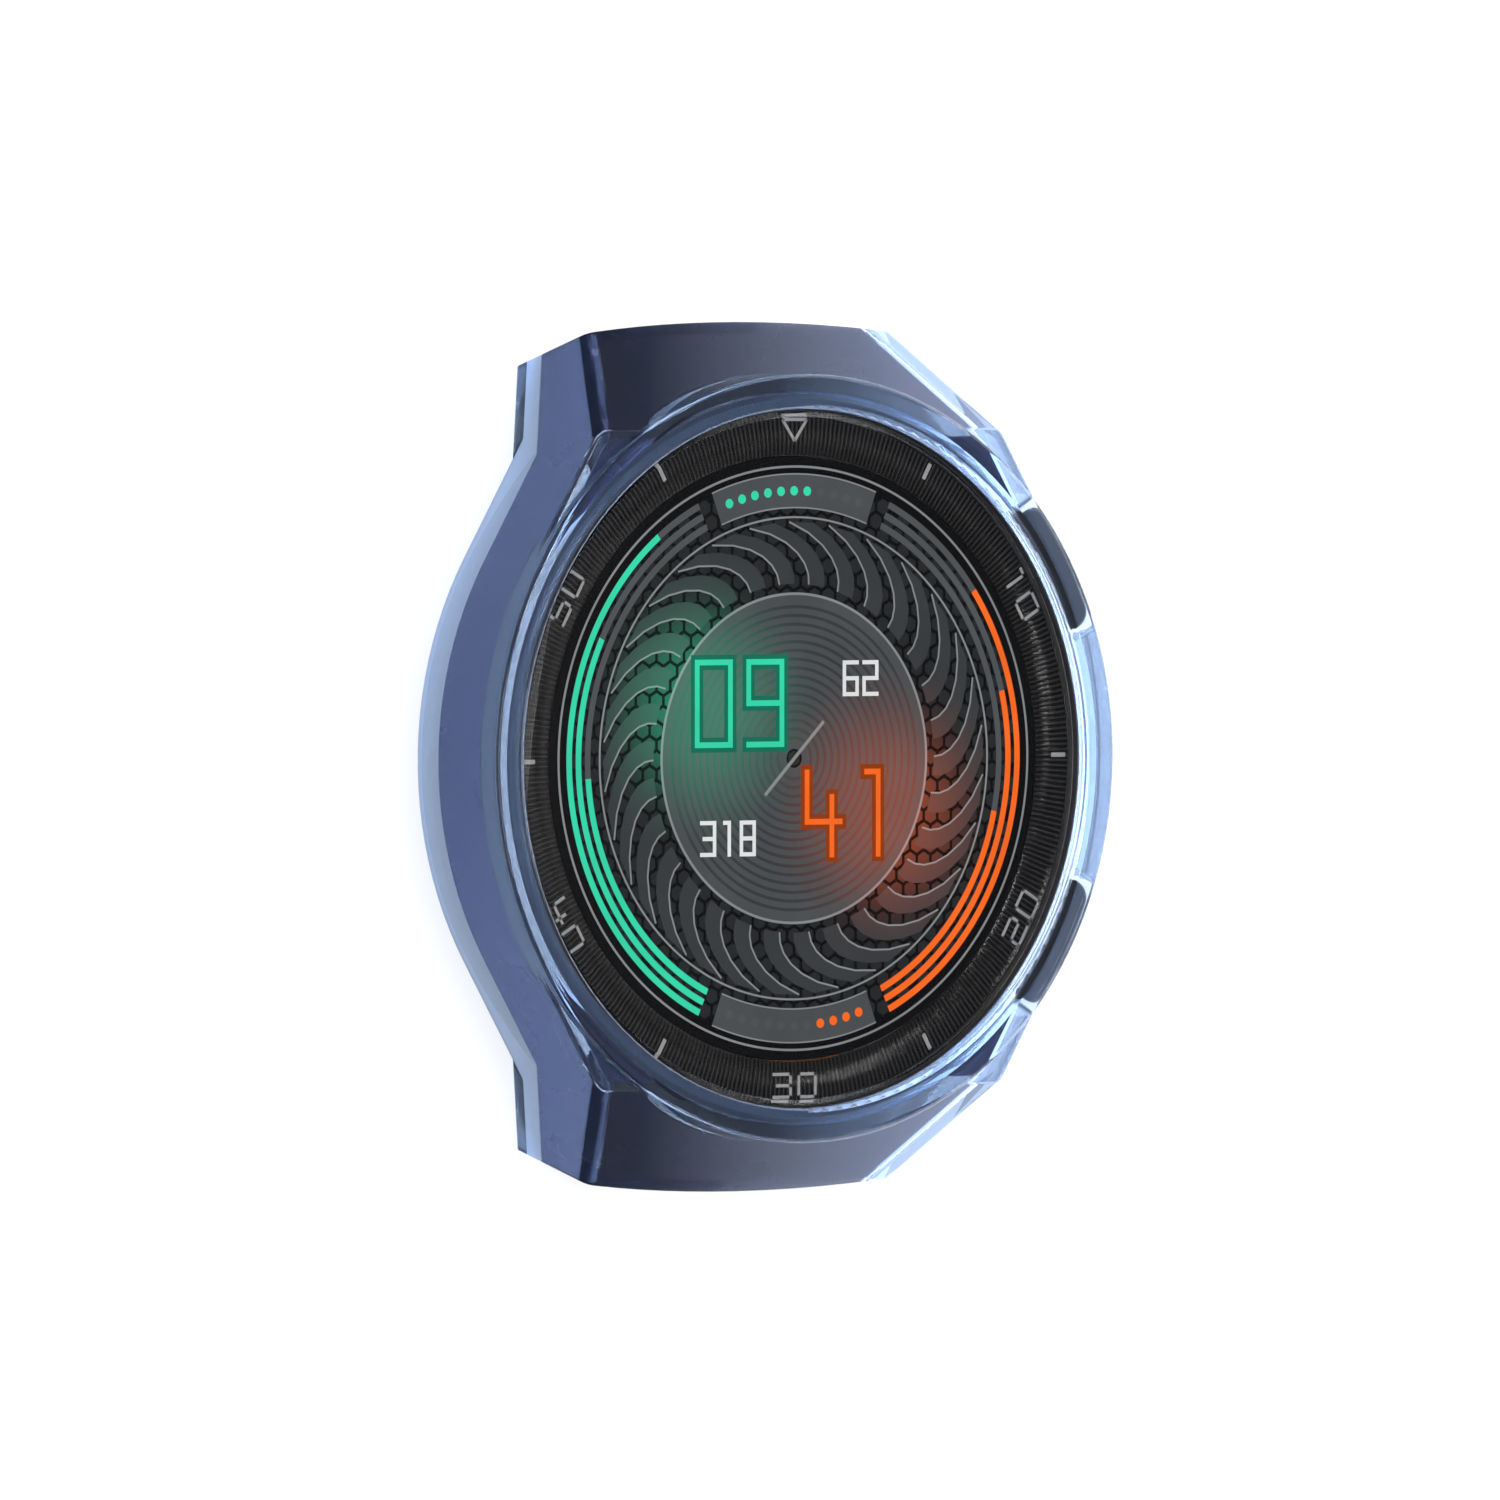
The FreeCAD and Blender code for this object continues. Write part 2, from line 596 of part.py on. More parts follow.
def strap_pocket():
    """Space between the lugs at twelve o'clock for a strap end and its bar."""
    half = STRAP_GAP / 2
    far = TIP_HALF_LENGTH + OVERRUN
    roof_inset = WATCH_INSET + HOOD_THICKNESS
    barrel = Part.makeCylinder(
        STRAP_POCKET_RADIUS, STRAP_GAP, V(-half, STRAP_BAR_REACH, STRAP_BAR_HEIGHT), X_AXIS
    )
    near, past = STRAP_BAR_REACH - STRAP_POCKET_RADIUS, STRAP_BAR_REACH + STRAP_POCKET_RADIUS
    below = block(-half, half, near, past, -OVERRUN, STRAP_BAR_HEIGHT)
    outside = side_prism(
        [
            (STRAP_BAR_REACH, -OVERRUN),
            (far, -OVERRUN),
            (far, slope_height(far, roof_inset)),
            (STRAP_BAR_REACH, slope_height(STRAP_BAR_REACH, roof_inset)),
        ],
        half,
    )
    return barrel.fuse(below).fuse(outside)


def strap_holes():
    """Blind holes in the two lug cheeks at twelve o'clock for the tips of a spring bar."""
    half = STRAP_GAP / 2 + STRAP_HOLE_DEPTH
    return Part.makeCylinder(STRAP_HOLE_RADIUS, 2 * half, V(-half, STRAP_BAR_REACH, STRAP_BAR_HEIGHT), X_AXIS)


def watch_middle():
    """Middle case together with both lug bridges, bored for the buttons, straps and screws."""
    far = TIP_HALF_LENGTH + OVERRUN
    body = plan_prism(WATCH_INSET, far, -OVERRUN, RING_FRONT)
    body = body.common(profile_prism(WATCH_INSET, LUG_RISE)).common(end_trim(LUG_PROTRUSION))
    body = rounded(solid_of(body), CASE_LUG_ROUND, is_case_lug_edge)
    rim_radius = CASE_RADIUS - FRAME_REAR_CHAMFER
    round_body = turned(
        [
            (0, REAR_FLAT),
            (rim_radius, REAR_FLAT),
            (CASE_RADIUS, MIDDLE_REAR),
            (CASE_RADIUS, FRAME_FRONT),
            (0, FRAME_FRONT),
        ]
    )
    body = body.fuse(round_body)
    body = body.cut(disc(CASE_RADIUS + BEZEL_SEAT_CLEARANCE, FRAME_FRONT, RING_FRONT + OVERRUN))
    body = body.cut(disc(CAVITY_RADIUS, FLANGE_FRONT, RING_FRONT))
    body = body.cut(disc(FRONT_CAVITY_RADIUS, CHASSIS_REAR, RING_FRONT))
    body = body.cut(disc(REAR_OPENING_RADIUS, -OVERRUN, RING_FRONT))
    body = body.cut(disc(REAR_COVER_RADIUS + SEAT_CLEARANCE, -OVERRUN, REAR_COVER_FRONT))
    for tool in (strap_pocket(), strap_holes()):
        body = body.cut(tool).cut(mirrored_in_y(tool))
    for degrees in button_sides().values():
        body = body.cut(spun(button_seat(), degrees))
    vent = Part.makeCylinder(VENT_RADIUS, CASE_RADIUS + OVERRUN, V(0, 0, VENT_HEIGHT), X_AXIS)
    body = body.cut(vent)
    thread_end = REAR_FLAT + REAR_SCREW_LENGTH
    for x, y in rear_screw_places():
        body = body.cut(disc(REAR_SCREW_RADIUS, REAR_FLAT, thread_end, x, y))
    return solid_of(body)


def bridge_space():
    """Space of the lug bridge at twelve o'clock, outside the round case."""
    high = RING_FRONT + OVERRUN
    space = block(-BRIDGE_HALF_WIDTH, BRIDGE_HALF_WIDTH, 0, TIP_HALF_LENGTH + OVERRUN, -OVERRUN, high)
    return space.cut(disc(CASE_RADIUS, -OVERRUN, high))


def frame_and_bridges():
    """Round middle case, and the hooded lug bridges that are welded to it at twelve and six o'clock."""
    body = watch_middle()
    twelve = bridge_space()
    six = mirrored_in_y(twelve)
    return {
        "case_frame": solid_of(body.cut(twelve).cut(six)),
        "lug_bridge_twelve": solid_of(body.common(twelve)),
        "lug_bridge_six": solid_of(body.common(six)),
    }


def button_seat():
    """Recess and stem bore for one button, facing +X before it is turned."""
    length = BUTTON_LENGTH + 2 * BUTTON_RECESS_MARGIN
    low = BUTTON_REAR - BUTTON_RECESS_MARGIN
    recess = button_window(length, CASE_RADIUS, low, BUTTON_FRONT + OVERRUN)
    reach = BUTTON_FACE_RADIUS + OVERRUN
    bore = Part.makeCylinder(STEM_RADIUS + STEM_CLEARANCE, reach, V(0, 0, STEM_HEIGHT), X_AXIS)
    return recess.fuse(bore)


def bezel_ring():
    """Polished ring round the glass, with a ledge that the glass is sealed to."""
    top = BEZEL_FRONT
    return turned(
        [
            (FRONT_CAVITY_RADIUS, FRAME_FRONT),
            (CASE_RADIUS, FRAME_FRONT),
            (CASE_RADIUS, top - BEZEL_CHAMFER),
            (CASE_RADIUS - BEZEL_CHAMFER, top),
            (GLASS_SEAT_RADIUS, top),
            (GLASS_SEAT_RADIUS, BEZEL_LEDGE),
            (FRONT_CAVITY_RADIUS, BEZEL_LEDGE),
        ]
    )


def glass_seal():
    """Adhesive gasket between the bezel's ledge and the glass."""
    return ring(FRONT_CAVITY_RADIUS, GLASS_RADIUS, BEZEL_LEDGE, GLASS_REAR)


def cover_glass():
    """Front glass with a bevelled edge."""
    return turned(
        [
            (0, GLASS_REAR),
            (GLASS_RADIUS, GLASS_REAR),
            (GLASS_RADIUS, GLASS_FRONT - GLASS_BEVEL),
            (GLASS_RADIUS - GLASS_BEVEL, GLASS_FRONT),
            (0, GLASS_FRONT),
        ]
    )


def minute_ring():
    """Flat black ring under the rim of the glass that carries the minute scale."""
    inner = PANEL_RADIUS + PANEL_CLEARANCE
    outer = FRONT_CAVITY_RADIUS - PANEL_CLEARANCE
    return ring(inner, outer, GLASS_REAR - MINUTE_RING_THICKNESS, GLASS_REAR)


def display_panel():
    """Round display under the glass."""
    return disc(PANEL_RADIUS, PANEL_REAR, GLASS_REAR)


def display_backing():
    """Heat-spreading sheet on the back of the display."""
    return disc(PANEL_RADIUS - BACKING_MARGIN, BACKING_REAR, PANEL_REAR)


def flex_drop_reach():
    """Distance from the middle at which the display's ribbon turns down past the board."""
    return -BOARD_RADIUS + FLEX_CLEARANCE


def display_flex():
    """Ribbon from the back of the display, past the board's edge and on to the board's rear."""
    half = DISPLAY_FLEX_WIDTH / 2
    drop = flex_drop_reach()
    high = BACKING_REAR
    low = BOARD_REAR - FLEX_THICKNESS
    inward = drop + 2 * CONNECTOR_WIDTH
    points = [
        (inward, high),
        (drop, high),
        (drop, low),
        (inward, low),
        (inward, low + FLEX_THICKNESS),
        (drop + FLEX_THICKNESS, low + FLEX_THICKNESS),
        (drop + FLEX_THICKNESS, high - FLEX_THICKNESS),
        (inward, high - FLEX_THICKNESS),
    ]
    return side_prism(points, half)


def flex_slot(outer_reach, low, high):
    """Opening for the display's ribbon, from a reach at six o'clock inwards past the ribbon."""
    half = DISPLAY_FLEX_WIDTH / 2 + FLEX_CLEARANCE
    edge = flex_drop_reach() + FLEX_THICKNESS + FLEX_CLEARANCE / 2
    return block(-half, half, -outer_reach, edge, low - OVERRUN, high + OVERRUN)


def inner_chassis():
    """Stiff plate on the frame's ledge that carries the board on its rear."""
    plate = disc(FRONT_CAVITY_RADIUS - CHASSIS_CLEARANCE, CHASSIS_REAR, CHASSIS_FRONT)
    plate = plate.cut(flex_slot(BOARD_RADIUS, CHASSIS_REAR, CHASSIS_FRONT))
    for x, y in board_screw_places():
        plate = plate.cut(disc(BOARD_SCREW_RADIUS, CHASSIS_REAR, CHASSIS_REAR + BOARD_SCREW_BITE, x, y))
    return solid_of(plate)


def antenna_ring():
    """Open antenna ring that lies on the chassis, just inside the frame."""
    outer = FRONT_CAVITY_RADIUS - ANTENNA_CLEARANCE
    high = GLASS_REAR - MINUTE_RING_THICKNESS
    band = ring(outer - ANTENNA_WIDTH, outer, CHASSIS_FRONT, high)
    half = outer * math.radians(ANTENNA_GAP_DEGREES) / 2
    gap = block(-half, half, -CASE_RADIUS, 0, CHASSIS_FRONT - OVERRUN, high + OVERRUN)
    return solid_of(band.cut(gap))


def board_screw_places():
    """Places of the screws that hold the board to the chassis."""
    turns = [math.radians(degrees) for degrees in BOARD_SCREW_DEGREES]
    return [(BOARD_SCREW_CIRCLE * math.cos(turn), BOARD_SCREW_CIRCLE * math.sin(turn)) for turn in turns]


def main_board():
    """Circuit board behind the chassis, cut back for the key switches and the display's ribbon."""
    board = disc(BOARD_RADIUS, BOARD_REAR, BOARD_FRONT)
    board = board.cut(flex_slot(CASE_RADIUS, BOARD_REAR, BOARD_FRONT))
    inner = BRACKET_INNER_RADIUS - BRACKET_CLEARANCE
    margin_degrees = math.degrees(BRACKET_CLEARANCE / inner)
    half_degrees = BRACKET_HALF_DEGREES + margin_degrees
    board = board.cut(sector(inner, CASE_RADIUS, half_degrees, BOARD_REAR - OVERRUN, BOARD_FRONT + OVERRUN))
    hole_radius = BOARD_SCREW_RADIUS + BOARD_SCREW_CLEARANCE
    for x, y in board_screw_places():
        board = board.cut(disc(hole_radius, BOARD_REAR - OVERRUN, BOARD_FRONT + OVERRUN, x, y))
    return solid_of(board)


def board_screws():
    """Screws from behind the board into the chassis."""
    screws = []
    for x, y in board_screw_places():
        head = disc(BOARD_SCREW_HEAD_RADIUS, BOARD_REAR - BOARD_SCREW_HEAD_HEIGHT, BOARD_REAR, x, y)
        shank = disc(BOARD_SCREW_RADIUS, BOARD_REAR, CHASSIS_REAR + BOARD_SCREW_BITE, x, y)
        screws.append(solid_of(head.fuse(shank)))
    return Part.makeCompound(screws)


def board_chips():
    """Chips on the rear of the board."""
    chips = []
    for place, size in zip(CHIP_PLACE_SHARES, CHIP_SIZE_SHARES):
        x, y = (BOARD_RADIUS * share for share in place)
        length, width = (BOARD_RADIUS * share for share in size)
        chips.append(centred_block(length, width, BOARD_REAR - CHIP_HEIGHT, BOARD_REAR, x, y))
    return Part.makeCompound(chips)


def shield_can():
    """Folded metal can over the radio chips, open towards the board."""
    low = BOARD_REAR - SHIELD_HEIGHT
    can = centred_block(SHIELD_WIDTH, SHIELD_LENGTH, low, BOARD_REAR, SHIELD_REACH)
    inner_width = SHIELD_WIDTH - 2 * SHIELD_WALL
    inner_length = SHIELD_LENGTH - 2 * SHIELD_WALL
    room = centred_block(inner_width, inner_length, low + SHIELD_WALL, BOARD_REAR + OVERRUN, SHIELD_REACH)
    return can.cut(room)


def battery():
    """Round lithium cell behind the board."""
    cell = disc(BATTERY_RADIUS, BATTERY_REAR, BATTERY_FRONT, BATTERY_X, BATTERY_Y)
    rims = [edge for edge in cell.Edges if isinstance(edge.Curve, Part.Circle)]
    return cell.makeFillet(BATTERY_EDGE_ROUND, rims)


def battery_pad():
    """Foam pad between the pulse sensor's board and the cell."""
    return disc(PAD_RADIUS, SENSOR_BOARD_FRONT, BATTERY_REAR)


def battery_plug_place():
    """Middle of the battery's plug on the board."""
    return tuple(BOARD_RADIUS * share for share in BATTERY_PLUG_PLACE_SHARES)


def battery_plug():
    """Plug of the battery's ribbon on the rear of the board."""
    x, y = battery_plug_place()
    return centred_block(CONNECTOR_LENGTH, CONNECTOR_WIDTH, PLUG_REAR, BOARD_REAR, x, y)


def battery_ribbon():
    """Flat ribbon from the cell's front face to its plug."""
    x, y = battery_plug_place()
    start = BATTERY_Y - BATTERY_RADIUS + LEAD_WIDTH
    return block(x - LEAD_WIDTH / 2, x + LEAD_WIDTH / 2, y, start, BATTERY_FRONT, PLUG_REAR)


def haptic_case():
    """Can of the linear vibration motor, below the battery at six o'clock."""
    low = FLANGE_FRONT
    y = -HAPTIC_REACH
    can = centred_block(HAPTIC_LENGTH, HAPTIC_WIDTH, low, low + HAPTIC_HEIGHT, 0, y)
    length = HAPTIC_LENGTH - 2 * HAPTIC_WALL
    width = HAPTIC_WIDTH - 2 * HAPTIC_WALL
    room = centred_block(length, width, low + HAPTIC_WALL, low + HAPTIC_HEIGHT - HAPTIC_WALL, 0, y)
    return can.cut(room)


def haptic_mass():
    """Moving weight inside the motor's can, free to shake along X."""
    low = FLANGE_FRONT + HAPTIC_WALL + HAPTIC_CLEARANCE
    high = FLANGE_FRONT + HAPTIC_HEIGHT - HAPTIC_WALL - HAPTIC_CLEARANCE
    length = HAPTIC_LENGTH - 2 * (HAPTIC_WALL + HAPTIC_TRAVEL + HAPTIC_CLEARANCE)
    width = HAPTIC_WIDTH - 2 * (HAPTIC_WALL + HAPTIC_CLEARANCE)
    return centred_block(length, width, low, high, 0, -HAPTIC_REACH)


def rear_screw_places():
    """Places of the rear cover's screws."""
    return circle_places(REAR_SCREW_COUNT, REAR_SCREW_CIRCLE, 180 / REAR_SCREW_COUNT)


def contact_places():
    """Places of the charging contacts."""
    return [(side * CONTACT_PITCH / 2, -CONTACT_REACH) for side in (-1, 1)]


def rear_cover():
    """Moulded rear cover that rises round the pulse sensor."""
    body = turned(
        [
            (WINDOW_RADIUS + SEAT_CLEARANCE, REAR_COVER_FRONT),
            (REAR_COVER_RADIUS, REAR_COVER_FRONT),
            (REAR_COVER_RADIUS, REAR_FLAT),
            (SENSOR_RISE_RADIUS, REAR_FLAT),
            (SENSOR_RIM_RADIUS, REAR_FLAT - SENSOR_RIM_RISE),
            (WINDOW_RADIUS + SEAT_CLEARANCE, REAR_FLAT - SENSOR_RIM_RISE),
        ]
    )
    outer = REAR_OPENING_RADIUS + REAR_SEAL_MARGIN + REAR_SEAL_WIDTH
    low = REAR_COVER_FRONT - REAR_SEAL_DEPTH
    body = body.cut(ring(outer - REAR_SEAL_WIDTH, outer, low, REAR_COVER_FRONT + OVERRUN))
    for x, y in rear_screw_places():
        head_radius = REAR_SCREW_HEAD_RADIUS + REAR_SCREW_CLEARANCE
        shank_radius = REAR_SCREW_RADIUS + REAR_SCREW_CLEARANCE
        body = body.cut(disc(head_radius, REAR_FLAT - OVERRUN, REAR_FLAT + REAR_SCREW_HEAD_DEPTH, x, y))
        body = body.cut(disc(shank_radius, REAR_FLAT - OVERRUN, REAR_COVER_FRONT + OVERRUN, x, y))
    for x, y in contact_places():
        radius = CONTACT_RADIUS + CONTACT_CLEARANCE
        body = body.cut(disc(radius, REAR_FLAT - OVERRUN, REAR_COVER_FRONT + OVERRUN, x, y))
    return solid_of(body)


def rear_seal():
    """Gasket in the rear cover's groove, pressed against the frame's flange."""
    outer = REAR_OPENING_RADIUS + REAR_SEAL_MARGIN + REAR_SEAL_WIDTH
    return ring(outer - REAR_SEAL_WIDTH, outer, REAR_COVER_FRONT - REAR_SEAL_DEPTH, REAR_COVER_FRONT)


def rear_screws():
    """Screws through the rear cover into the frame's flange."""
    screws = []
    head_top = REAR_FLAT + REAR_SCREW_HEAD_DEPTH
    for x, y in rear_screw_places():
        head = disc(REAR_SCREW_HEAD_RADIUS, REAR_FLAT, head_top, x, y)
        shank = disc(REAR_SCREW_RADIUS, head_top, REAR_FLAT + REAR_SCREW_LENGTH, x, y)
        screws.append(solid_of(head.fuse(shank)))
    return Part.makeCompound(screws)


def sensor_window():
    """Domed window over the pulse sensor, whose middle reaches the resting plane."""
    rim = REAR_COVER_FRONT
    dome_radius = (WINDOW_RADIUS ** 2 + WINDOW_EDGE_RISE ** 2) / (2 * WINDOW_EDGE_RISE)
    ball = Part.makeSphere(dome_radius, V(0, 0, dome_radius))
    body = disc(WINDOW_RADIUS, 0, rim).common(ball)
    hollow = disc(WINDOW_RADIUS - WINDOW_RIM_WIDTH, WINDOW_EDGE_RISE + WINDOW_WALL / 2, rim + OVERRUN)
    return solid_of(body.cut(hollow))


def sensor_board():
    """Small round board on the rear cover that carries the pulse sensor."""
    radius = WINDOW_RADIUS + SEAT_CLEARANCE + SENSOR_BOARD_CLEARANCE + WINDOW_RIM_WIDTH
    return disc(radius, SENSOR_BOARD_REAR, SENSOR_BOARD_FRONT)


def sensor_baffle():
    """Light-tight walls between the lamps and the light sensors."""
    low = WINDOW_EDGE_RISE + WINDOW_WALL / 2
    inner = ring(BAFFLE_INNER_RADIUS, BAFFLE_INNER_RADIUS + BAFFLE_WALL, low, SENSOR_BOARD_REAR)
    outer = ring(BAFFLE_OUTER_RADIUS, BAFFLE_OUTER_RADIUS + BAFFLE_WALL, low, SENSOR_BOARD_REAR)
    body = inner.fuse(outer)
    half = BAFFLE_WALL / 2
    spoke = block(BAFFLE_INNER_RADIUS + half, BAFFLE_OUTER_RADIUS + half, -half, half, low, SENSOR_BOARD_REAR)
    for index in range(BAFFLE_SPOKE_COUNT):
        body = body.fuse(spun(spoke, index * 360 / BAFFLE_SPOKE_COUNT))
    return solid_of(body)


def sensor_leds():
    """Lamps in the middle of the sensor board."""
    low = SENSOR_BOARD_REAR - LED_HEIGHT
    places = circle_places(LED_COUNT, LED_CIRCLE, 180 / LED_COUNT)
    lamps = [centred_block(LED_SIZE, LED_SIZE, low, SENSOR_BOARD_REAR, x, y) for x, y in places]
    return Part.makeCompound(lamps)


def sensor_photodiodes():
    """Light sensors in a circle round the lamps."""
    low = SENSOR_BOARD_REAR - DIODE_HEIGHT
    step = 360 / DIODE_COUNT
    chip = centred_block(DIODE_WIDTH, DIODE_LENGTH, low, SENSOR_BOARD_REAR, DIODE_CIRCLE)
    return Part.makeCompound([spun(chip, step * (index + 0.5)) for index in range(DIODE_COUNT)])


def charging_contacts():
    """Two round charging contacts through the rear cover, each with a collar inside."""
    pins = []
    for x, y in contact_places():
        pin = disc(CONTACT_RADIUS, REAR_FLAT, REAR_FLAT + CONTACT_LENGTH, x, y)
        collar_low = REAR_COVER_FRONT
        collar = disc(CONTACT_RADIUS + CONTACT_COLLAR, collar_low, REAR_FLAT + CONTACT_LENGTH, x, y)
        pins.append(solid_of(pin.fuse(collar)))
    return Part.makeCompound(pins)


def charging_magnets():
    """Two magnets behind the rear cover that hold the charging cradle."""
    places = [(side * MAGNET_PITCH / 2, -MAGNET_REACH) for side in (-1, 1)]
    high = REAR_COVER_FRONT + MAGNET_THICKNESS
    return Part.makeCompound([disc(MAGNET_RADIUS, REAR_COVER_FRONT, high, x, y) for x, y in places])


def sector(inner, outer, half_degrees, low, high):
    """Ring cut to a span of degrees on each side of three o'clock."""
    wedge_reach = outer + OVERRUN
    turn = math.radians(half_degrees)
    side = V(wedge_reach * math.cos(turn), wedge_reach * math.sin(turn), low)
    tip = V(wedge_reach, 0, low)
    start = V(0, 0, low)
    corners = [start, V(side.x, -side.y, low), V(tip.x / math.cos(turn / 2), 0, low), side, start]
    wedge = Part.Face(Part.makePolygon(corners)).extrude(V(0, 0, high - low))
    return ring(inner, outer, low, high).common(wedge)


def key_bracket():
    """Curved steel strip on the chassis that both key switches lean on."""
    low = STEM_HEIGHT - SWITCH_HEIGHT / 2
    strip = sector(BRACKET_INNER_RADIUS, BRACKET_OUTER_RADIUS, BRACKET_HALF_DEGREES, low, CHASSIS_REAR)
    return solid_of(strip)


def key_switch(degrees):
    """Key switch behind one button, with its snap dome pressed by the stem."""
    low = STEM_HEIGHT - SWITCH_HEIGHT / 2
    front = DOME_REACH - DOME_RISE
    half = SWITCH_LENGTH / 2
    body = block(SWITCH_BACK_REACH, front, -half, half, low, low + SWITCH_HEIGHT)
    dome = Part.makeCylinder(DOME_RADIUS, DOME_RISE, V(front, 0, STEM_HEIGHT), X_AXIS)
    return spun(solid_of(body.fuse(dome)), degrees)


def vent_membrane():
    """Waterproof, air-passing membrane behind the vent hole."""
    reach = math.sqrt(CAVITY_RADIUS ** 2 - MEMBRANE_RADIUS ** 2) - MEMBRANE_THICKNESS
    return Part.makeCylinder(MEMBRANE_RADIUS, MEMBRANE_THICKNESS, V(reach, 0, VENT_HEIGHT), X_AXIS)


def clip_low():
    """Inner face of the retaining clip, measured from the centre along the stem."""
    return CLIP_SEAT_REACH - CLIP_SEAT_PLAY - CLIP_THICKNESS


def is_cap_corner(at, edge):
    """True for the four upright outer corners of a button cap."""
    upright = abs(edge.BoundBox.ZLength - BUTTON_HEIGHT) < EDGE_MATCH
    return upright and at.x > BUTTON_BACK_RADIUS


def is_cap_rim(at, edge):
    """True for the edges round the outer face of a button cap."""
    at_end = min(abs(at.z - BUTTON_FRONT), abs(at.z - BUTTON_REAR)) < EDGE_MATCH
    return at_end and edge.BoundBox.XMax > BUTTON_FACE_RADIUS - BUTTON_CORNER_ROUND and is_outer(edge)


def is_outer(edge):
    """True for an edge that lies wholly outside the middle of the cap's thickness."""
    inner = BUTTON_BACK_RADIUS + BUTTON_EDGE_ROUND
    return all(math.hypot(vertex.X, vertex.Y) > inner for vertex in edge.Vertexes)


def button_cap(degrees):
    """Long curved button with its stem, grooved for a seal and a clip."""
    cap = button_window(BUTTON_LENGTH, BUTTON_BACK_RADIUS, BUTTON_REAR, BUTTON_FRONT)
    cap = solid_of(cap.common(disc(BUTTON_FACE_RADIUS, BUTTON_REAR, BUTTON_FRONT)))
    corners = [edge for edge in cap.Edges if is_cap_corner(edge.CenterOfMass, edge) and is_outer(edge)]
    cap = cap.makeFillet(BUTTON_CORNER_ROUND, corners)
    rim = [edge for edge in cap.Edges if is_cap_rim(edge.CenterOfMass, edge)]
    cap = cap.makeFillet(BUTTON_EDGE_ROUND, rim)
    length = BUTTON_BACK_RADIUS + BUTTON_EDGE_ROUND - STEM_END_REACH
    stem = Part.makeCylinder(STEM_RADIUS, length, V(STEM_END_REACH, 0, STEM_HEIGHT), X_AXIS)
    groove_low = clip_low() - CLIP_GROOVE_PLAY
    groove_width = CLIP_THICKNESS + 2 * CLIP_GROOVE_PLAY
    stem = stem.cut(stem_groove(groove_low, groove_width, CLIP_GROOVE_DEPTH))
    seal_half = O_RING_SECTION_RADIUS + O_RING_PLAY
    stem = stem.cut(stem_groove(O_RING_REACH - seal_half, 2 * seal_half, 2 * O_RING_SECTION_RADIUS))
    return spun(solid_of(cap.fuse(stem)), degrees)


def stem_groove(low, width, depth):
    """Groove round a stem, facing +X before it is turned."""
    outer = Part.makeCylinder(CLIP_RADIUS, width, V(low, 0, STEM_HEIGHT), X_AXIS)
    core = Part.makeCylinder(STEM_RADIUS - depth, width, V(low, 0, STEM_HEIGHT), X_AXIS)
    return outer.cut(core)


def button_seal(degrees):
    """Rubber ring in the stem's groove."""
    centre_radius = STEM_RADIUS + O_RING_PLAY - O_RING_SECTION_RADIUS
    seal = Part.makeTorus(centre_radius, O_RING_SECTION_RADIUS, V(O_RING_REACH, 0, STEM_HEIGHT), X_AXIS)
    return spun(seal, degrees)


def button_clip(degrees):
    """Open steel clip that keeps the stem in the frame."""
    low = clip_low()
    plate = Part.makeCylinder(CLIP_RADIUS, CLIP_THICKNESS, V(low, 0, STEM_HEIGHT), X_AXIS)
    bore_radius = STEM_RADIUS - CLIP_GROOVE_DEPTH + CLIP_GROOVE_PLAY
    bore = Part.makeCylinder(bore_radius, CLIP_THICKNESS, V(low, 0, STEM_HEIGHT), X_AXIS)
    half = CLIP_MOUTH_WIDTH / 2
    mouth = block(low, low + CLIP_THICKNESS, -half, half, STEM_HEIGHT, STEM_HEIGHT + OVERRUN)
    return spun(solid_of(plate.cut(bore).cut(mouth)), degrees)


def named_shapes():
    """Every piece of the object by its name."""
    shapes = {
        "bumper_cover": bumper_cover(),
        **frame_and_bridges(),
        "bezel_ring": bezel_ring(),
        "glass_seal": glass_seal(),
        "cover_glass": cover_glass(),
        "minute_ring": minute_ring(),
        "display_panel": display_panel(),
        "display_backing": display_backing(),
        "display_flex": display_flex(),
        "inner_chassis": inner_chassis(),
        "antenna_ring": antenna_ring(),
        "main_board": main_board(),
        "board_screws": board_screws(),
        "board_chips": board_chips(),
        "shield_can": shield_can(),
        "battery": battery(),
        "battery_pad": battery_pad(),
        "battery_plug": battery_plug(),
        "battery_ribbon": battery_ribbon(),
        "haptic_case": haptic_case(),
        "haptic_mass": haptic_mass(),
        "rear_cover": rear_cover(),
        "rear_seal": rear_seal(),
        "rear_screws": rear_screws(),
        "sensor_window": sensor_window(),
        "sensor_board": sensor_board(),
        "sensor_baffle": sensor_baffle(),
        "sensor_leds": sensor_leds(),
        "sensor_photodiodes": sensor_photodiodes(),
        "charging_contacts": charging_contacts(),
        "charging_magnets": charging_magnets(),
        "key_bracket": key_bracket(),
        "vent_membrane": vent_membrane(),
    }
    for side, degrees in button_sides().items():
        shapes[side + "_button_cap"] = button_cap(degrees)
        shapes[side + "_button_seal"] = button_seal(degrees)
        shapes[side + "_button_clip"] = button_clip(degrees)
        shapes[side + "_key_switch"] = key_switch(degrees)
    return shapes


def main():
    """Write one file for each piece and print its size."""
    os.makedirs("parts", exist_ok=True)
    for name, shape in named_shapes().items():
        box = shape.BoundBox
        low = (round(box.XMin, 2), round(box.YMin, 2), round(box.ZMin, 2))
        high = (round(box.XMax, 2), round(box.YMax, 2), round(box.ZMax, 2))
        print(name, len(shape.Solids), shape.isValid(), round(shape.Volume, 2), low, high)
        shape.exportStep("parts/" + name + ".step")


if __name__ == "__main__":
    main()
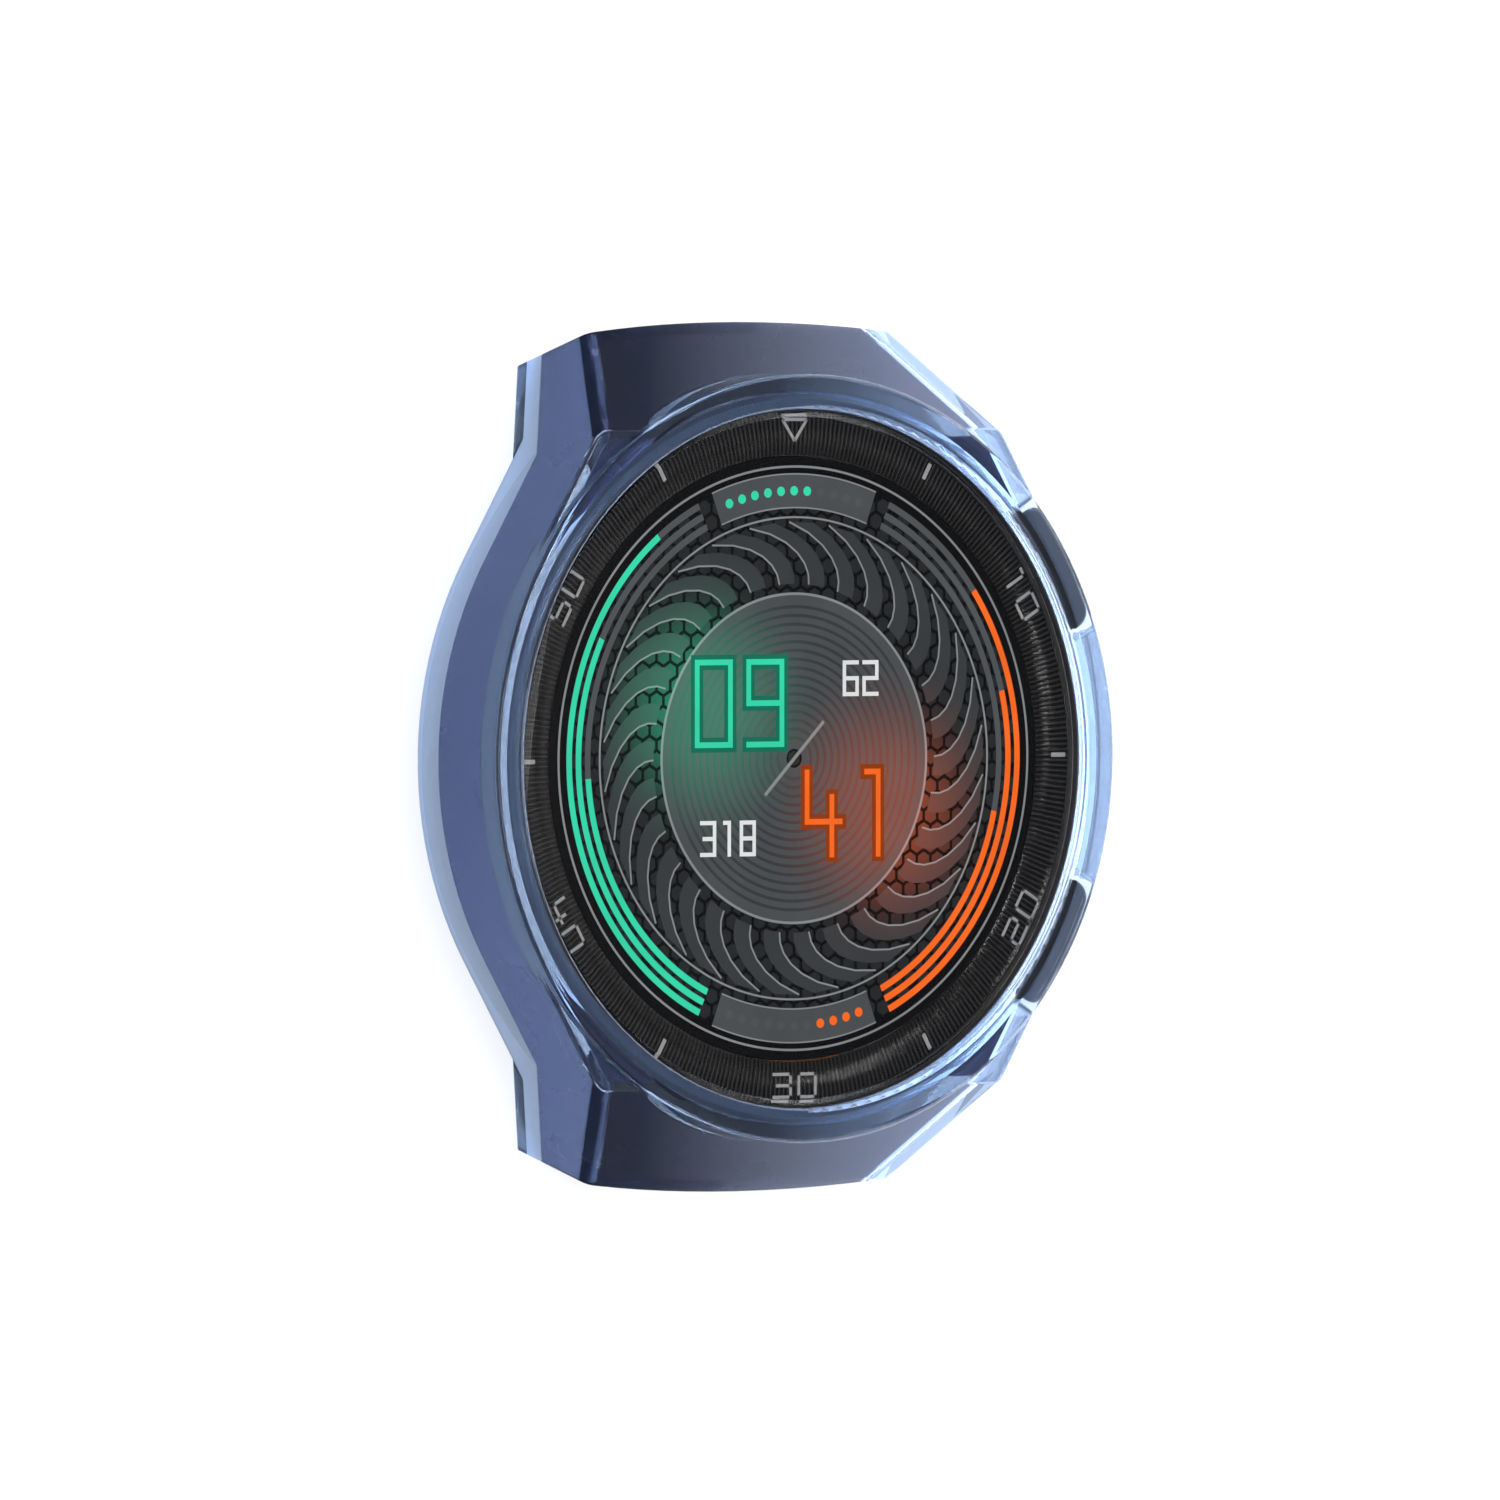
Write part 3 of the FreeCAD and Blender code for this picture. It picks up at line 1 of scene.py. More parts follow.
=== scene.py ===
"""Looks of a round smartwatch head in its clear blue cover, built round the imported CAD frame."""

from __future__ import annotations

import json
import logging
import math
from dataclasses import dataclass
from enum import Enum

import bpy
from mathutils import Matrix, Vector

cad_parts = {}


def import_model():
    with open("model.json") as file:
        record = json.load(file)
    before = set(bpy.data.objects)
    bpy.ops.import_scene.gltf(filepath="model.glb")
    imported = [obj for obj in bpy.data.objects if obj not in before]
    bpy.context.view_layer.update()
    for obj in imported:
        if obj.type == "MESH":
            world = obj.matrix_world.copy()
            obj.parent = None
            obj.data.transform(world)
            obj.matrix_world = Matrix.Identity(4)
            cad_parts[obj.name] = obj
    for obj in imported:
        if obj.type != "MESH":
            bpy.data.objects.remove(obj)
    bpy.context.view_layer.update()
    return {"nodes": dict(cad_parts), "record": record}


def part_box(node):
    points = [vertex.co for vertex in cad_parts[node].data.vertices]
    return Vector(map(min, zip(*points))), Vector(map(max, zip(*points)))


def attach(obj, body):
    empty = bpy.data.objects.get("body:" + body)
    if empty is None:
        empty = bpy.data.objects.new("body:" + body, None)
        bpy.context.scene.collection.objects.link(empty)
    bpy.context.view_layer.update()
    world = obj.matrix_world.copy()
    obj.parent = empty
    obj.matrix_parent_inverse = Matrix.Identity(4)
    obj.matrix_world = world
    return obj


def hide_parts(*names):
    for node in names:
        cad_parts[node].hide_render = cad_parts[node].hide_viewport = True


LOG = logging.getLogger("smartwatch_case")
MM = 0.001
# Longest step of a drawn arc, in degrees.
ARC_STEP = 2.0
# Share of a side that the round at one of its ends may take.
MOST_OF_SIDE = 0.45
Point = tuple[float, ...]

# Sizes of the faint unevenness that real surfaces have: blotches of handling, waves left by a mould or a
# polishing pad, clouding of a backlight and of paper.
HANDLING_MM = 5.56
WAVE_MM = 4.55
BACKLIGHT_MM = 3.85
PAPER_MM = 83.3
# Least and most of a finish's roughness, where handling has rubbed or clouded it.
LEAST_ROUGH, MOST_ROUGH = 0.85, 1.2
# Scale of a brushed grain along its lines, against 1 across them.
BRUSHED_LENGTH = 0.03


def linear(hex_colour: str) -> tuple[float, float, float, float]:
    """Turns an sRGB hex colour into linear light.

    Args:
        hex_colour: Colour such as "#3fe0b0".

    Returns:
        Linear red, green, blue and an alpha of 1.
    """
    parts = [int(hex_colour[i : i + 2], 16) / 255 for i in (1, 3, 5)]
    light = [c / 12.92 if c <= 0.04045 else ((c + 0.055) / 1.055) ** 2.4 for c in parts]
    return light[0], light[1], light[2], 1.0


def add_node(
    tree: bpy.types.NodeTree,
    kind: str,
    settings: dict | None = None,
    links: dict | None = None,
) -> bpy.types.Node:
    """Adds a node with its settings and links.

    Args:
        tree: Tree that the node joins.
        kind: Node type's identifier.
        settings: Property or input values, by property name, input name or input number.
        links: Output sockets, by the name or number of the input that each feeds.

    Returns:
        The new node.
    """
    node = tree.nodes.new(kind)
    for name, value in (settings or {}).items():
        if isinstance(name, str) and name not in node.inputs:
            setattr(node, name, value)
        else:
            node.inputs[name].default_value = value
    for name, source in (links or {}).items():
        tree.links.new(source, node.inputs[name])
    return node


class Grain(Enum):
    """Ways in which a surface was made, each with its own pattern."""

    MOULDED = "moulded"
    BLASTED = "blasted"
    BRUSHED = "brushed"
    ROLLED = "rolled"
    WOVEN = "woven"
    CELLULAR = "cellular"
    ETCHED = "etched"


class Surface:
    """What a piece is covered with: one node material, made once and then shared."""

    name: str

    def make(self) -> bpy.types.Material:
        """Builds the material, if it isn't there yet.

        Returns:
            The material.
        """
        if self.name in bpy.data.materials:
            return bpy.data.materials[self.name]
        material = bpy.data.materials.new(self.name)
        material.use_nodes = True
        material.node_tree.nodes.clear()
        self.lay(material.node_tree)
        return material

    def lay(self, tree: bpy.types.NodeTree) -> None:
        """Lays this surface's nodes in an empty tree, which each kind of surface does its own way.

        Args:
            tree: Material's node tree.
        """
        raise NotImplementedError


@dataclass(frozen=True)
class Finish(Surface):
    """Opaque finish: a colour with its variation, and the pattern its making left.

    The grain is a real size in millimetres, and the depth is how far its bump rises. The shine is the
    shader's specular level, 0.5 for a plain surface and less where a fine texture swallows the gloss.
    """

    name: str
    colour: str
    shade: str
    grain: Grain
    grain_mm: float
    depth_mm: float
    roughness: float
    metallic: float = 0.0
    ior: float = 1.5
    coat: float = 0.0
    shine: float = 0.5

    def pattern(self, tree: bpy.types.NodeTree) -> bpy.types.NodeSocket:
        """Lays the grain's pattern over the piece, in the piece's own coordinates.

        Args:
            tree: Material's node tree.

        Returns:
            The pattern's height, from 0 to 1.
        """
        place = add_node(tree, "ShaderNodeTexCoord").outputs["Object"]
        scale = 1 / (self.grain_mm * MM)
        if self.grain is Grain.BRUSHED:
            stretched = add_node(
                tree, "ShaderNodeMapping", {"Scale": (1.0, BRUSHED_LENGTH, 1.0)}, {"Vector": place}
            )
            place = stretched.outputs["Vector"]
        if self.grain is Grain.WOVEN:
            wave = add_node(
                tree, "ShaderNodeTexWave", {"Scale": scale / math.tau, "Distortion": 1.5}, {"Vector": place}
            )
            across = add_node(
                tree,
                "ShaderNodeTexWave",
                {"bands_direction": "Y", "Scale": scale / math.tau, "Distortion": 1.5},
                {"Vector": place},
            )
            both = add_node(
                tree,
                "ShaderNodeMath",
                {"operation": "MULTIPLY"},
                {0: wave.outputs["Fac"], 1: across.outputs["Fac"]},
            )
            return both.outputs[0]
        if self.grain is Grain.CELLULAR:
            cells = add_node(tree, "ShaderNodeTexVoronoi", {"Scale": scale}, {"Vector": place})
            return cells.outputs["Distance"]
        if self.grain is Grain.ETCHED:
            tracks = add_node(
                tree,
                "ShaderNodeTexBrick",
                {"Scale": scale, "Mortar Size": 0.04, "Brick Width": 1.9, "Row Height": 0.4},
                {"Vector": place},
            )
            return tracks.outputs["Fac"]
        detail = 2.0 if self.grain is Grain.ROLLED else 5.0
        noise = add_node(
            tree,
            "ShaderNodeTexNoise",
            {"Scale": scale, "Detail": detail, "Roughness": 0.6},
            {"Vector": place},
        )
        return noise.outputs["Fac"]

    def lay(self, tree: bpy.types.NodeTree) -> None:
        """Lays the two colours by the pattern, its bump, and a gloss that handling has clouded.

        Args:
            tree: Material's node tree.
        """
        height = self.pattern(tree)
        place = add_node(tree, "ShaderNodeTexCoord").outputs["Object"]
        cloud = add_node(
            tree, "ShaderNodeTexNoise", {"Scale": 1 / (HANDLING_MM * MM), "Detail": 3.0}, {"Vector": place}
        )
        blend = add_node(
            tree,
            "ShaderNodeMix",
            {"data_type": "RGBA", 6: linear(self.colour), 7: linear(self.shade)},
            {0: height},
        )
        gloss = add_node(
            tree,
            "ShaderNodeMapRange",
            {
                "To Min": self.roughness * LEAST_ROUGH,
                "To Max": min(1.0, self.roughness * MOST_ROUGH),
            },
            {"Value": cloud.outputs["Fac"]},
        )
        bump = add_node(
            tree, "ShaderNodeBump", {"Strength": 0.6, "Distance": self.depth_mm * MM}, {"Height": height}
        )
        settings = {"Metallic": self.metallic, "Coat Weight": self.coat}
        if self.metallic < 0.5:
            settings["IOR"] = self.ior
            settings["Specular IOR Level"] = self.shine
        shader = add_node(
            tree,
            "ShaderNodeBsdfPrincipled",
            settings,
            {
                "Base Color": blend.outputs[2],
                "Roughness": gloss.outputs["Result"],
                "Normal": bump.outputs["Normal"],
            },
        )
        add_node(tree, "ShaderNodeOutputMaterial", links={"Surface": shader.outputs["BSDF"]})


@dataclass(frozen=True)
class FlutedFinish(Finish):
    """Opaque finish of radial flutes with painted light: the shade colour painted on their crests as a
    highlight, and the colour painted in their roots as shade.

    The flank is how far a crest's painted highlight reaches, where half a flute is 0.5. Inside a radius the
    crests are lower, so they get only the inner share of their painted highlight.
    """

    flutes: int = 390
    step_mm: float = 20.2
    flank: float = 0.3
    inner_share: float = 0.7

    def pattern(self, tree: bpy.types.NodeTree) -> bpy.types.NodeSocket:
        """Follows the flutes round the watch's own axis, from 0 in a root to 1 on a crest.

        Args:
            tree: Material's node tree.

        Returns:
            The share of a crest's painted highlight.
        """
        place = add_node(tree, "ShaderNodeTexCoord").outputs["Object"]
        axes = add_node(tree, "ShaderNodeSeparateXYZ", links={"Vector": place})
        turn = add_node(
            tree, "ShaderNodeMath", {"operation": "ARCTAN2"}, {0: axes.outputs["Y"], 1: axes.outputs["X"]}
        )
        count = add_node(
            tree, "ShaderNodeMath", {"operation": "MULTIPLY", 1: self.flutes / math.tau}, {0: turn.outputs[0]}
        )
        root = add_node(tree, "ShaderNodeMath", {"operation": "PINGPONG", 1: 0.5}, {0: count.outputs[0]})
        # Painted light: the crests take the lighter shade colour and the roots the dark colour, as the
        # flutes' own lighting would.
        crest = add_node(
            tree,
            "ShaderNodeMapRange",
            {"From Min": self.flank, "From Max": 0.0},
            {"Value": root.outputs[0]},
        )
        soft = add_node(
            tree,
            "ShaderNodeMapRange",
            {"To Min": 0.0, "To Max": self.inner_share},
            {"Value": crest.outputs["Result"]},
        )
        flat = add_node(
            tree, "ShaderNodeVectorMath", {"operation": "MULTIPLY", 1: (1.0, 1.0, 0.0)}, {0: place}
        )
        reach = add_node(tree, "ShaderNodeVectorMath", {"operation": "LENGTH"}, {0: flat.outputs["Vector"]})
        outside = add_node(
            tree,
            "ShaderNodeMath",
            {"operation": "GREATER_THAN", 1: self.step_mm * MM},
            {0: reach.outputs["Value"]},
        )
        mix = add_node(
            tree,
            "ShaderNodeMix",
            {"data_type": "FLOAT"},
            {0: outside.outputs[0], 2: soft.outputs["Result"], 3: crest.outputs["Result"]},
        )
        return mix.outputs[0]


@dataclass(frozen=True)
class ClearFinish(Surface):
    """Clear moulded or ground finish, which light also passes on its way to what lies behind.

    The mirror is what a coat leaves of the surface's own reflection, 1 where there is none. The stain is the
    absorption per millimetre of red, green and blue. The cling is the share of light that leaves the inside
    of a soft piece straight on, as where it clings to what it covers.
    """

    name: str
    colour: str
    roughness: float
    ior: float
    mirror: float
    ripple_mm: float
    stain: tuple[float, float, float] | None = None
    cling: float = 0.0

    def lay(self, tree: bpy.types.NodeTree) -> None:
        """Lays the clear body with its waves and stain, and lets shadow and diffuse rays straight through.

        Args:
            tree: Material's node tree.
        """
        place = add_node(tree, "ShaderNodeTexCoord").outputs["Object"]
        wave = add_node(
            tree, "ShaderNodeTexNoise", {"Scale": 1 / (WAVE_MM * MM), "Detail": 1.0}, {"Vector": place}
        )
        bump = add_node(
            tree,
            "ShaderNodeBump",
            {"Strength": 1.0, "Distance": self.ripple_mm * MM},
            {"Height": wave.outputs["Fac"]},
        )
        shader = add_node(
            tree,
            "ShaderNodeBsdfPrincipled",
            {
                "Base Color": linear(self.colour),
                "Roughness": self.roughness,
                "IOR": self.ior,
                "Specular Tint": (self.mirror, self.mirror, self.mirror, 1.0),
                "Transmission Weight": 1.0,
            },
            {"Normal": bump.outputs["Normal"]},
        )
        path = add_node(tree, "ShaderNodeLightPath")
        passing = add_node(
            tree,
            "ShaderNodeMath",
            {"operation": "MAXIMUM"},
            {0: path.outputs["Is Shadow Ray"], 1: path.outputs["Is Diffuse Ray"]},
        )
        face = add_node(tree, "ShaderNodeNewGeometry")
        slipping = add_node(
            tree, "ShaderNodeMath", {"operation": "MULTIPLY", 1: self.cling}, {0: face.outputs["Backfacing"]}
        )
        share = add_node(
            tree, "ShaderNodeMath", {"operation": "MAXIMUM"}, {0: passing.outputs[0], 1: slipping.outputs[0]}
        )
        straight = add_node(tree, "ShaderNodeBsdfTransparent", {"Color": linear(self.colour)})
        mix = add_node(
            tree,
            "ShaderNodeMixShader",
            links={0: share.outputs[0], 1: shader.outputs["BSDF"], 2: straight.outputs["BSDF"]},
        )
        links = {"Surface": mix.outputs["Shader"]}
        if self.stain:
            density = max(self.stain) / MM
            kept = [1 - s / MM / density for s in self.stain]
            depth = add_node(
                tree, "ShaderNodeVolumeAbsorption", {"Color": (*kept, 1.0), "Density": density}
            )
            links["Volume"] = depth.outputs["Volume"]
        add_node(tree, "ShaderNodeOutputMaterial", links=links)


@dataclass(frozen=True)
class Glow:
    """Soft coloured glow in the picture: its colour and its middle in millimetres."""

    colour: str
    at: Point


@dataclass(frozen=True)
class LitFinish(Surface):
    """Part of the lit panel's picture: its own light, warmed or cooled by two soft glows.

    The glow is the share of a glow's colour added at its middle, and it fades out over a radius. The low is
    the share of the colour left where the backlight is weakest, and the off colour is the panel unlit.
    """

    name: str
    colour: str
    strength: float
    glow: float = 0.0
    fade_mm: float = 9.0
    low: float = 0.72
    off: str = "#010102"
    glows: tuple[Glow, Glow] = (Glow("#2fe3ad", (-7.0, 3.2, 11.1)), Glow("#ff6a1a", (7.0, -3.2, 11.1)))

    def lay(self, tree: bpy.types.NodeTree) -> None:
        """Lays the light, clouded a little so that no plate is one flat grey, and adds the glows.

        Args:
            tree: Material's node tree.
        """
        place = add_node(tree, "ShaderNodeTexCoord").outputs["Object"]
        cloud = add_node(
            tree, "ShaderNodeTexNoise", {"Scale": 1 / (BACKLIGHT_MM * MM), "Detail": 2.0}, {"Vector": place}
        )
        base = linear(self.colour)
        dim = tuple(c * self.low for c in base[:3]) + (1.0,)
        light = add_node(
            tree,
            "ShaderNodeMix",
            {"data_type": "RGBA", 6: dim, 7: base},
            {0: cloud.outputs["Fac"]},
        ).outputs[2]
        for glow in self.glows if self.glow else ():
            far = add_node(
                tree,
                "ShaderNodeVectorMath",
                {"operation": "DISTANCE", 1: tuple(c * MM for c in glow.at)},
                {0: place},
            )
            near = add_node(
                tree,
                "ShaderNodeMapRange",
                {
                    "interpolation_type": "SMOOTHERSTEP",
                    "From Min": self.fade_mm * MM,
                    "From Max": 0.0,
                    "To Max": self.glow,
                },
                {"Value": far.outputs["Value"]},
            )
            light = add_node(
                tree,
                "ShaderNodeMix",
                {"data_type": "RGBA", "blend_type": "ADD", 7: linear(glow.colour)},
                {0: near.outputs["Result"], 6: light},
            ).outputs[2]
        shader = add_node(
            tree,
            "ShaderNodeBsdfPrincipled",
            {"Base Color": linear(self.off), "Specular IOR Level": 0.0, "Emission Strength": self.strength},
            {"Emission Color": light},
        )
        add_node(tree, "ShaderNodeOutputMaterial", links={"Surface": shader.outputs["BSDF"]})


# Thermoplastic polyurethane, moulded clear with a blue dye: deeper blue where light goes further.
COVER_TPU = ClearFinish(
    "clear_blue_polyurethane_moulded", "#d4e6ff", 0.01, 1.5, 1.0, 0.002, (0.026, 0.014, 0.0), 0.18
)
# Hardened glass with an anti-reflection coat: the dial stays black under it.
FRONT_GLASS = ClearFinish("hardened_glass_polished_coated", "#ffffff", 0.0, 1.5, 0.15, 0.0004)
# Dark glass over the pulse sensor: the green lamps only just show.
SENSOR_GLASS = ClearFinish("sensor_glass_tinted", "#3a3d42", 0.02, 1.52, 1.0, 0.0005)

SLOT_FINISHES: dict[str, Surface] = {
    "cover_tpu": COVER_TPU,
    "front_glass": FRONT_GLASS,
    "sensor_glass": SENSOR_GLASS,
    # Anodised aluminium, bead-blasted: a soft even violet grey with a fine sparkle.
    "case_black": Finish(
        "anodised_aluminium_blasted", "#615f73", "#5b596c", Grain.BLASTED, 0.05, 0.0002, 0.26, 1.0
    ),
    # Zirconia ceramic, ground to a satin: dark grey, with a soft shine under the cover's lip.
    "bezel_ceramic": Finish(
        "zirconia_ceramic_satin", "#2b2b30", "#242428", Grain.ROLLED, 1.2, 0.0006, 0.25, ior=2.1
    ),
    # Silicone rubber, moulded: dull and slightly dusty.
    "seal_rubber": Finish(
        "silicone_rubber_moulded", "#151515", "#232323", Grain.MOULDED, 0.2, 0.01, 0.7, ior=1.43
    ),
    # Polycarbonate, moulded: black, with painted highlights on the flute crests and painted shade in their
    # roots.
    "dial_black": FlutedFinish(
        "polycarbonate_fluted_painted_light",
        "#010101",
        "#1d1d1f",
        Grain.MOULDED,
        0.15,
        0.0003,
        0.17,
        ior=1.58,
        shine=0.07,
    ),
    # Display laminate seen when off: black with a faint sheen.
    "display": Finish("display_laminate", "#050507", "#0a0b0e", Grain.ROLLED, 2.0, 0.0005, 0.2),
    # Copper foil, rolled: warm, with lines from the rolls.
    "copper_sheet": Finish("copper_foil_rolled", "#c9794f", "#b0633c", Grain.BRUSHED, 0.3, 0.002, 0.35, 1.0),
    # Polyimide ribbon, laminated over etched copper: amber with paler tracks.
    "amber_flex": Finish(
        "polyimide_ribbon_laminated", "#b5651d", "#8c4a12", Grain.ETCHED, 0.8, 0.01, 0.4, ior=1.7
    ),
    # Magnesium, die-cast and tumbled: pale grey and slightly pitted.
    "light_alloy": Finish("magnesium_die_cast", "#9a9b98", "#7e7f7d", Grain.BLASTED, 0.25, 0.02, 0.5, 1.0),
    # Spring steel, stamped and plated for the antenna: silvery with a grain.
    "antenna_metal": Finish(
        "spring_steel_plated", "#b9b4a6", "#a29c8c", Grain.BRUSHED, 0.15, 0.002, 0.32, 1.0
    ),
    # Glass-epoxy board with solder mask: green, with tracks that stand slightly proud.
    "board_green": Finish(
        "glass_epoxy_solder_mask", "#14502f", "#1f6b41", Grain.ETCHED, 1.1, 0.02, 0.35, ior=1.55, coat=0.4
    ),
    # Epoxy moulding compound on chips: matt black with a fine stipple.
    "chip_black": Finish("epoxy_compound_moulded", "#1d1e20", "#2a2b2d", Grain.MOULDED, 0.1, 0.006, 0.6),
    # Stainless steel, turned: bright with lathe lines.
    "steel": Finish("stainless_steel_turned", "#a8a9ab", "#8f9092", Grain.BRUSHED, 0.08, 0.002, 0.28, 1.0),
    # Aluminium laminate pouch of the cell: silvery and gently wrinkled.
    "cell_foil": Finish(
        "aluminium_pouch_laminated", "#b4b6b8", "#999b9e", Grain.ROLLED, 1.6, 0.04, 0.36, 1.0
    ),
    # Polyurethane foam: open cells, no shine.
    "pad_foam": Finish("polyurethane_foam_cut", "#2c2d30", "#45474b", Grain.CELLULAR, 0.35, 0.12, 0.95),
    # Nylon plug, moulded: slightly yellow white.
    "plug_white": Finish("nylon_moulded", "#e3e0d4", "#d2cfc2", Grain.MOULDED, 0.3, 0.004, 0.45, ior=1.53),
    # Glass-filled nylon, moulded against a spark-eroded tool: black with a fine texture.
    "rear_black": Finish(
        "glass_filled_nylon_moulded", "#1a1b1d", "#2b2c2f", Grain.MOULDED, 0.16, 0.014, 0.55, ior=1.53
    ),
    # Green lamp chips under cast clear resin: a glossy, slightly cloudy green.
    "lamp_green": Finish("lamp_resin_cast", "#49b36b", "#2f8f50", Grain.ROLLED, 0.5, 0.002, 0.15, ior=1.54),
    # Silicon photodiodes: dark blue-grey with a cut grid.
    "diode_dark": Finish("silicon_diced", "#20242e", "#10131a", Grain.ETCHED, 0.4, 0.002, 0.2, ior=1.9),
    # Gold plate over turned brass: warm yellow with fine lathe lines.
    "contact_gold": Finish("gold_plated_brass", "#d9b25a", "#c79c43", Grain.BRUSHED, 0.06, 0.001, 0.22, 1.0),
    # Sintered magnet, nickel-plated: bright, slightly warm and finely grainy.
    "magnet_nickel": Finish(
        "sintered_magnet_nickel_plated", "#b8b6ae", "#a3a199", Grain.BLASTED, 0.12, 0.003, 0.25, 1.0
    ),
    # Expanded fluoropolymer membrane: white with the weave of its backing.
    "membrane_white": Finish(
        "fluoropolymer_membrane_expanded", "#eceae4", "#cfcdc7", Grain.WOVEN, 0.12, 0.01, 0.8, ior=1.35
    ),
    # Steel button caps, brushed and coated dark grey: satin with lines along the cap.
    "button_grey": Finish(
        "steel_brushed_coated", "#66666c", "#57575c", Grain.BRUSHED, 0.05, 0.002, 0.38, 1.0
    ),
    # Tungsten alloy, sintered: dark, heavy-looking grey.
    "weight_tungsten": Finish(
        "tungsten_sintered", "#6f706f", "#5b5c5b", Grain.BLASTED, 0.1, 0.006, 0.45, 1.0
    ),
}

# Pad-printed ink of the minute scale: satin grey, a little broken by the flutes below.
SCALE_INK = Finish("scale_ink_pad_printed", "#676767", "#525252", Grain.MOULDED, 0.12, 0.002, 0.5)
# Lit panel: each is a brightness of the same picture, shown by the panel's own light.
PANEL_BLACK = LitFinish("panel_black_lit", "#0a0b0c", 0.5, 0.05, 10.0)
PANEL_MESH = LitFinish("panel_mesh_lit", "#26292b", 1.0, 0.30, 9.0)
PANEL_PLATE = LitFinish("panel_plate_lit", "#505356", 1.0, 0.16, 9.5)
PANEL_VANE = LitFinish("panel_vane_lit", "#3c3f42", 1.0, 0.22, 10.5)
PANEL_EDGE = LitFinish("panel_edge_lit", "#8f9294", 1.0, 0.20, 10.0)
PANEL_DIM = LitFinish("panel_dim_lit", "#55585a", 1.0)
PANEL_WHITE = LitFinish("panel_white_lit", "#f2f4f4", 1.0)
PANEL_TEAL = LitFinish("panel_teal_lit", "#35dcae", 1.1)
PANEL_TEAL_DEEP = LitFinish("panel_teal_deep_lit", "#12775c", 1.0)
PANEL_ORANGE = LitFinish("panel_orange_lit", "#ff6c1f", 1.1)
PANEL_ORANGE_DEEP = LitFinish("panel_orange_deep_lit", "#9a3d0c", 1.0)


@dataclass
class MeshMaker:
    """Collects points in millimetres and faces, and turns them into one piece."""

    name: str

    def __post_init__(self) -> None:
        """Starts with nothing in the piece."""
        self.points: list[Point] = []
        self.faces: list[tuple[int, ...]] = []

    def lathe(self, profile: list[Point], turns: int, closed: bool = True) -> None:
        """Turns a profile about the watch's own axis.

        Args:
            profile: Radius and height of each point, in order, counter-clockwise.
            turns: Number of steps round the axis.
            closed: Whether the last point joins the first. If not, both lie on the axis.
        """
        if not closed:
            self.points += [(0.0, 0.0, profile[0][1]), (0.0, 0.0, profile[-1][1])]
            profile = profile[1:-1]
        start, n = len(self.points), len(profile)
        for k in range(turns):
            c, s = math.cos(math.tau * k / turns), math.sin(math.tau * k / turns)
            self.points += [(r * c, r * s, z) for r, z in profile]
        for k in range(turns):
            a, b = start + k * n, start + (k + 1) % turns * n
            for i in range(n if closed else n - 1):
                j = (i + 1) % n
                self.faces.append((a + i, b + i, b + j, a + j))
            if not closed:
                self.faces += [(start - 2, b, a), (a + n - 1, b + n - 1, start - 1)]

    def slab(self, outline: list[Point], low: float, high: float) -> None:
        """Raises an outline into a thin closed slab.

        Args:
            outline: Points in the dial's plane, counter-clockwise.
            low: Height of its underside.
            high: Height of its face.
        """
        start, n = len(self.points), len(outline)
        self.points += [(x, y, low) for x, y in outline] + [(x, y, high) for x, y in outline]
        self.faces.append(tuple(start + i for i in reversed(range(n))))
        self.faces.append(tuple(start + n + i for i in range(n)))
        for i in range(n):
            j = (i + 1) % n
            self.faces.append((start + i, start + j, start + n + j, start + n + i))

    def band(self, inner: float, outer: float, first: float, last: float, low: float, high: float) -> None:
        """Adds a flat band, as one closed form, between two clock angles.

        Args:
            inner: Radius of its inner edge.
            outer: Radius of its outer edge.
            first: Where it starts, in degrees clockwise from twelve.
            last: Where it ends, 360 past the start for a whole ring.
            low: Height of its underside.
            high: Height of its face.
        """
        steps = max(2, int((last - first) / ARC_STEP))
        whole = last - first == 360.0
        count = steps if whole else steps + 1
        start = len(self.points)
        for i in range(count):
            a = math.radians(90 - first - (last - first) * i / steps)
            corners = ((inner, low), (outer, low), (outer, high), (inner, high))
            self.points += [(r * math.cos(a), r * math.sin(a), z) for r, z in corners]
        for i in range(steps):
            a, b = start + 4 * i, start + 4 * ((i + 1) % count)
            for k in range(4):
                m = (k + 1) % 4
                self.faces.append((a + k, a + m, b + m, b + k))
        if not whole:
            end = start + 4 * steps
            self.faces += [(start + 3, start + 2, start + 1, start), (end, end + 1, end + 2, end + 3)]

    def bar(self, a: Point, b: Point, width: float, low: float, high: float) -> None:
        """Adds a straight stroke.

        Args:
            a: Middle of one end.
            b: Middle of the other end.
            width: Its width.
            low: Height of its underside.
            high: Height of its face.
        """
        p, q = Vector(a), Vector(b)
        d = (q - p).normalized()
        side = Vector((-d.y, d.x)) * width / 2
        self.slab([tuple(v) for v in (p + side, p - side, q - side, q + side)], low, high)

    def finish(
        self, finish: Surface, slot: str, body: str, stands_for: str | None = None, sharp: float = 35.0
    ) -> bpy.types.Object:
        """Makes the piece, dresses it and lets it ride on its body.

        Args:
            finish: Finish of the whole piece.
            slot: Record's material slot; not used.
            body: CAD body that carries it.
            stands_for: CAD node that it replaces, if any.
            sharp: Angle in degrees above which an edge stays crisp.

        Returns:
            The piece.
        """
        mesh = bpy.data.meshes.new(self.name)
        mesh.from_pydata([tuple(c * MM for c in p) for p in self.points], [], self.faces)
        mesh.validate()
        mesh.shade_smooth()
        mesh.set_sharp_from_angle(angle=math.radians(sharp))
        piece = bpy.data.objects.new(self.name, mesh)
        bpy.context.scene.collection.objects.link(piece)
        mesh.materials.append(finish.make())
        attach(piece, body)
        if stands_for:
            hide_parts(stands_for)
        LOG.info("%s: %d faces on %s", self.name, len(self.faces), body)
        return piece


